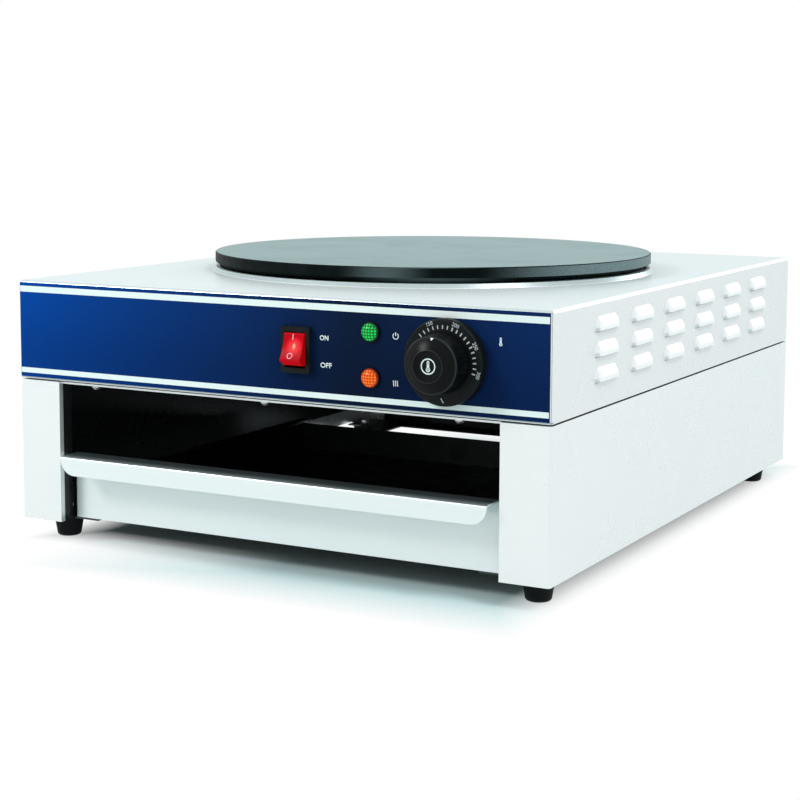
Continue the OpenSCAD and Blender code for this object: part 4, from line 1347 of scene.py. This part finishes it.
@dataclass
class Switch:
    """The lit rocker in its bezel."""

    pivot: Spot = (31.5, -297.1158, 182.75)
    tilt: float = 20.0
    out: float = 8.0
    dip: float = 1.0
    dip_half: float = 9.9
    bar_x: float = -0.8
    bar_ends: Point = (6.0, 10.5)
    bar_width: float = 0.65
    ring_place: Point = (-0.9, -7.0)
    ring_radii: Point = (2.4, 1.85)

    def surface(self, x: float, z: float, lift: float) -> Vector:
        """Finds a point on the rocker's dished face.

        Args:
            x: The place across, from the rocker's middle.
            z: The place up, from the rocker's middle.
            lift: The height above the face.

        Returns:
            The point in metres.
        """
        radius = (self.dip_half ** 2 + self.dip ** 2) / (2 * self.dip)
        y = (self.dip - self.out - radius
             + math.sqrt(radius ** 2 - min(abs(z), self.dip_half) ** 2) - lift)
        return (Matrix.Rotation(-math.radians(self.tilt), 3, "X") @ Vector((x, y, z))
                + Vector(self.pivot)) * MM

    def dress(self) -> None:
        """Gives bezel and rocker their finishes, and lays the bar and the ring on the rocker."""
        SatinPlastic(
            "switch_black_bezel", (0.0065, 0.0085, 0.0090), 0.30, 0.10).dress("switch_body")
        LitRocker().dress("switch_rocker")
        marks = Marks("rocker_signs", 0.08)
        marks.bar(*((self.bar_x, z) for z in self.bar_ends), self.bar_width, 5)
        marks.ring(self.ring_place, *self.ring_radii)
        marks.lay(self.surface, PrintInk("ink_rocker_pink", (0.85, 0.45, 0.52)),
                  "rocker")


@dataclass
class Lamps:
    """The green and the amber lamp."""

    power_middle: Spot = (0.097, -0.2995, 0.20045)
    heat_middle: Spot = (0.097, -0.2995, 0.16505)

    def dress(self) -> None:
        """Gives the rims black plastic and each lens its colour."""
        BLACK_PLASTIC.dress("power_lamp_body", "heat_lamp_body")
        PrismLens("lamp_green_lens", self.power_middle, (0.001, 0.02, 0.006), (0.0, 0.035, 0.012),
                  (0.0, 0.15, 0.030), (0.003, 0.86, 0.10)).dress("power_lamp_lens")
        PrismLens("lamp_amber_lens", self.heat_middle, (0.06, 0.006, 0.001), (0.22, 0.015, 0.001),
                  (0.68, 0.045, 0.002), (1.0, 0.29, 0.012)).dress("heat_lamp_lens")


@dataclass
class Dial:
    """The fixed dial plate, its scale and the thermostat's knob."""

    centre: Point = (162.5, 181.95)
    face: float = -304.3
    dish: float = -327.0
    dome_centre: float = -296.6
    dome_radius: float = 34.366
    tick_in: float = 25.4
    tick_out: float = 28.2
    figure_radius: float = 30.6
    figure_height: float = 2.9
    figure_zero: float = 20.9
    figures_per_ten: float = 8.35
    degrees_per_ten: float = 8.72
    zero_turn: float = 17.6
    pointer_turn: float = 4.5
    pointer_half: float = 3.8
    pointer_base: float = 20.9
    pointer_tip: float = 18.9
    pointer_rows: int = 3
    off_start: Point = (161.5, 155.35)
    off_end: Point = (163.7, 151.75)
    off_width: float = 0.7
    sign_ring: Point = (6.0, 5.1)
    sign_size: Point = (8.4, 0.65)

    def spot(self, turn: float, radius: float) -> Point:
        """Returns the point at an angle clockwise from the top."""
        angle = math.radians(turn)
        return (self.centre[0] + radius * math.sin(angle),
                self.centre[1] + radius * math.cos(angle))

    def dress(self) -> None:
        """Gives the dial and the knob their black plastics and their marks."""
        SatinPlastic("dial_black_plastic", (0.0050, 0.0066, 0.0070), 0.40, 0.10).dress("dial_plate")
        TurnedPlastic().dress("control_knob")
        self.scale()
        self.pointer()
        self.knob_sign()

    def scale(self) -> None:
        """Lays the ticks and figures from 130 to 300 and the longer mark of the off position."""
        marks = Marks("dial_scale")
        for heat in range(130, 301, 10):
            past = (heat - 200) / 10
            turn = self.zero_turn + past * self.degrees_per_ten
            width = 1.05 if heat >= 200 else 0.85
            marks.bar(self.spot(turn, self.tick_in), self.spot(turn, self.tick_out), width)
            if heat % 50 == 0:
                turn = self.figure_zero + past * self.figures_per_ten
                marks.words(str(heat), self.spot(turn, self.figure_radius), self.figure_height,
                            turn, 0.006)
        marks.bar(self.off_start, self.off_end, self.off_width)
        marks.lay(panel_point(self.face), PrintInk("ink_dial_grey", (0.52, 0.55, 0.56)),
                  "housing")

    def dome(self, x: float, z: float, lift: float) -> Vector:
        """Finds a point on the knob's domed face.

        Args:
            x: The place across.
            z: The height.
            lift: The height above the face.

        Returns:
            The point in metres.
        """
        flat = (x - self.centre[0]) ** 2 + (z - self.centre[1]) ** 2
        y = self.dome_centre - math.sqrt((self.dome_radius + lift) ** 2 - flat)
        return Vector((x, y, z)) * MM

    def pointer(self) -> None:
        """Lays the pointed mark near the knob's rim, in rows that follow the dome."""
        marks = Marks("knob_pointer")
        shares = [row / self.pointer_rows for row in range(self.pointer_rows + 1)]
        rows = [(self.pointer_half * (1 - share),
                 self.pointer_base + (self.pointer_tip - self.pointer_base) * share)
                for share in shares]
        marks.strip(*([self.spot(self.pointer_turn + side * half, radius) for half, radius in rows]
                      for side in (1, -1)))
        marks.lay(self.dome, WHITE_INK, "knob")

    def knob_sign(self) -> None:
        """Lays the ringed thermometer in the knob's dish."""
        marks = Marks("knob_sign")
        marks.ring(self.centre, *self.sign_ring)
        draw_thermometer(marks, self.centre, *self.sign_size)
        marks.lay(panel_point(self.dish), WHITE_INK, "knob")


@dataclass
class Cooker:
    """The cooking plate and everything that heats, holds and guards it."""

    def dress(self) -> None:
        """Gives the plate its coating and the parts below it their finishes."""
        CoatedIron().dress("cooking_plate")
        HeatedSheath().dress("heating_element")
        INNER_STEEL.dress("element_clamp", "heat_shield", "spacer_tubes")
        STEEL_PARTS.dress("plate_studs", "stud_nuts", "thermostat_shaft", "thermostat_screws")
        MineralBoard("fibre_insulation", (0.78, 0.76, 0.70), (0.58, 0.55, 0.48), 0.85, 700.0,
                     0.0004).dress("insulation_pad")
        MineralBoard("ceramic_glazed", (0.80, 0.79, 0.75), (0.70, 0.69, 0.64), 0.30, 500.0,
                     0.00005).dress("terminal_block", "thermostat_body")
        PlainMetal(
            "terminal_brass", (0.72, 0.50, 0.20), (0.46, 0.30, 0.11), 0.30).dress("terminal_screws")
        PlainMetal(
            "bulb_copper", (0.78, 0.40, 0.24), (0.42, 0.20, 0.12), 0.32).dress("thermostat_bulb")


@dataclass
class Drawer:
    """The sliding tray with its folded front."""

    # box of painted shade on the drawer front, behind the pull
    pull_middle: Spot = (0.0, -0.264, 0.1)
    pull_half: Spot = (0.4, 0.0144, 0.2)

    def dress(self) -> None:
        """Gives the front its brushed face with painted shade behind the pull, and the tray a dark
        steel that paints shade inside.
        """
        PullSteel("drawer_brushed_steel", tint=(0.790, 0.846, 0.842), shade=(0.10, 0.115, 0.12),
                  roughness=0.30, metallic=0.35, middle=self.pull_middle,
                  inner_half=self.pull_half).dress("drawer_front")
        # dark steel on the tray, painted shade in the closed-in drawer
        PlainMetal("tray_dark_steel", (0.075, 0.085, 0.09), (0.035, 0.04, 0.043), 0.40,
                   60.0).dress("drawer_tray")
        STEEL_PARTS.dress("drawer_rivets")


# ----------------------------------------------------------------------- studio


class LampSide(Enum):
    """Where a soft lamp stands and its size, in metres, and its power in watts."""

    LEFT_FRONT = ((-1.4, -1.7, 1.5), 0.7, 26.0)
    RIGHT_TOP = ((1.8, -0.6, 2.3), 0.9, 26.0)
    RIGHT_BACK = ((1.25, 3.2, 1.25), 1.6, 22.0)


@dataclass
class Studio:
    """The floor, the white surroundings, the soft lamps and the camera."""

    spot: Spot = (0.76671, -1.48588, 0.36202)
    yaw: float = 28.440
    pitch: float = 6.370
    roll: float = 0.207
    lens: float = 81.167
    shift: float = -0.1
    floor_radius: float = 14.0
    ambient: float = 0.80
    aim: Spot = (0.0, -0.1, 0.15)

    def camera(self) -> None:
        """Stands the camera where the object is seen from its right front corner."""
        data = bpy.data.cameras.new("studio_camera")
        data.lens, data.sensor_width, data.shift_y = self.lens, 36.0, self.shift
        data.clip_start, data.clip_end = 0.05, 60.0
        a, e, r = (math.radians(v) for v in (self.yaw, self.pitch, self.roll))
        back = Vector((math.sin(a) * math.cos(e), -math.cos(a) * math.cos(e), math.sin(e)))
        level = Vector((math.cos(a), math.sin(a), 0.0))
        above = back.cross(level)
        right = math.cos(r) * level + math.sin(r) * above
        up = -math.sin(r) * level + math.cos(r) * above
        holder = stand("studio_camera", data)
        holder.matrix_world = (Matrix.Translation(self.spot)
                               @ Matrix((right, up, back)).transposed().to_4x4())
        bpy.context.scene.camera = holder

    def floor(self) -> None:
        """Lays a round white floor."""
        mesh = bmesh.new()
        bmesh.ops.create_circle(mesh, cap_ends=True, segments=96, radius=self.floor_radius)
        shape = bpy.data.meshes.new("studio_floor")
        mesh.to_mesh(shape)
        mesh.free()
        ground = stand("studio_floor", shape)
        StudioFloor().cover(ground)

    def surroundings(self) -> None:
        """Makes the world white to the eye and in reflections, and softer as a light."""
        world = bpy.data.worlds.new("studio_world")
        bpy.context.scene.world = world
        world.use_nodes = True
        world.node_tree.nodes.clear()
        graph = Graph(world.node_tree)
        level = graph.seen().fit(0.0, 1.0, self.ambient, 1.0, soft=False)
        light = graph.add("ShaderNodeBackground", {"Color": (1.0, 1.0, 1.0), "Strength": level})
        graph.node("ShaderNodeOutputWorld", {"Surface": light})

    def lamps(self) -> None:
        """Hangs the soft lamps, all aimed at the middle of the housing."""
        for side in LampSide:
            spot, size, power = side.value
            data = bpy.data.lights.new("lamp_" + side.name.lower(), "AREA")
            data.shape, data.size, data.energy = "DISK", size, power
            holder = stand(data.name, data)
            holder.location = spot
            holder.rotation_euler = (
                (Vector(self.aim) - Vector(spot)).to_track_quat("-Z", "Y").to_euler())

    def build(self) -> None:
        """Sets up the whole studio and its plain colour handling."""
        self.camera()
        self.floor()
        self.surroundings()
        self.lamps()
        bpy.context.scene.view_settings.view_transform = "Standard"
        LOG.info("studio ready")


def main() -> None:
    """Builds the studio and dresses the crepe maker, one sub-assembly after another."""
    logging.basicConfig(level=logging.INFO, format="%(name)s: %(message)s")
    Studio().build()
    for part in (Housing(), ControlPanel(), Switch(), Lamps(), Dial(), Cooker(), Drawer()):
        part.dress()


if __name__ == "__main__":
    main()
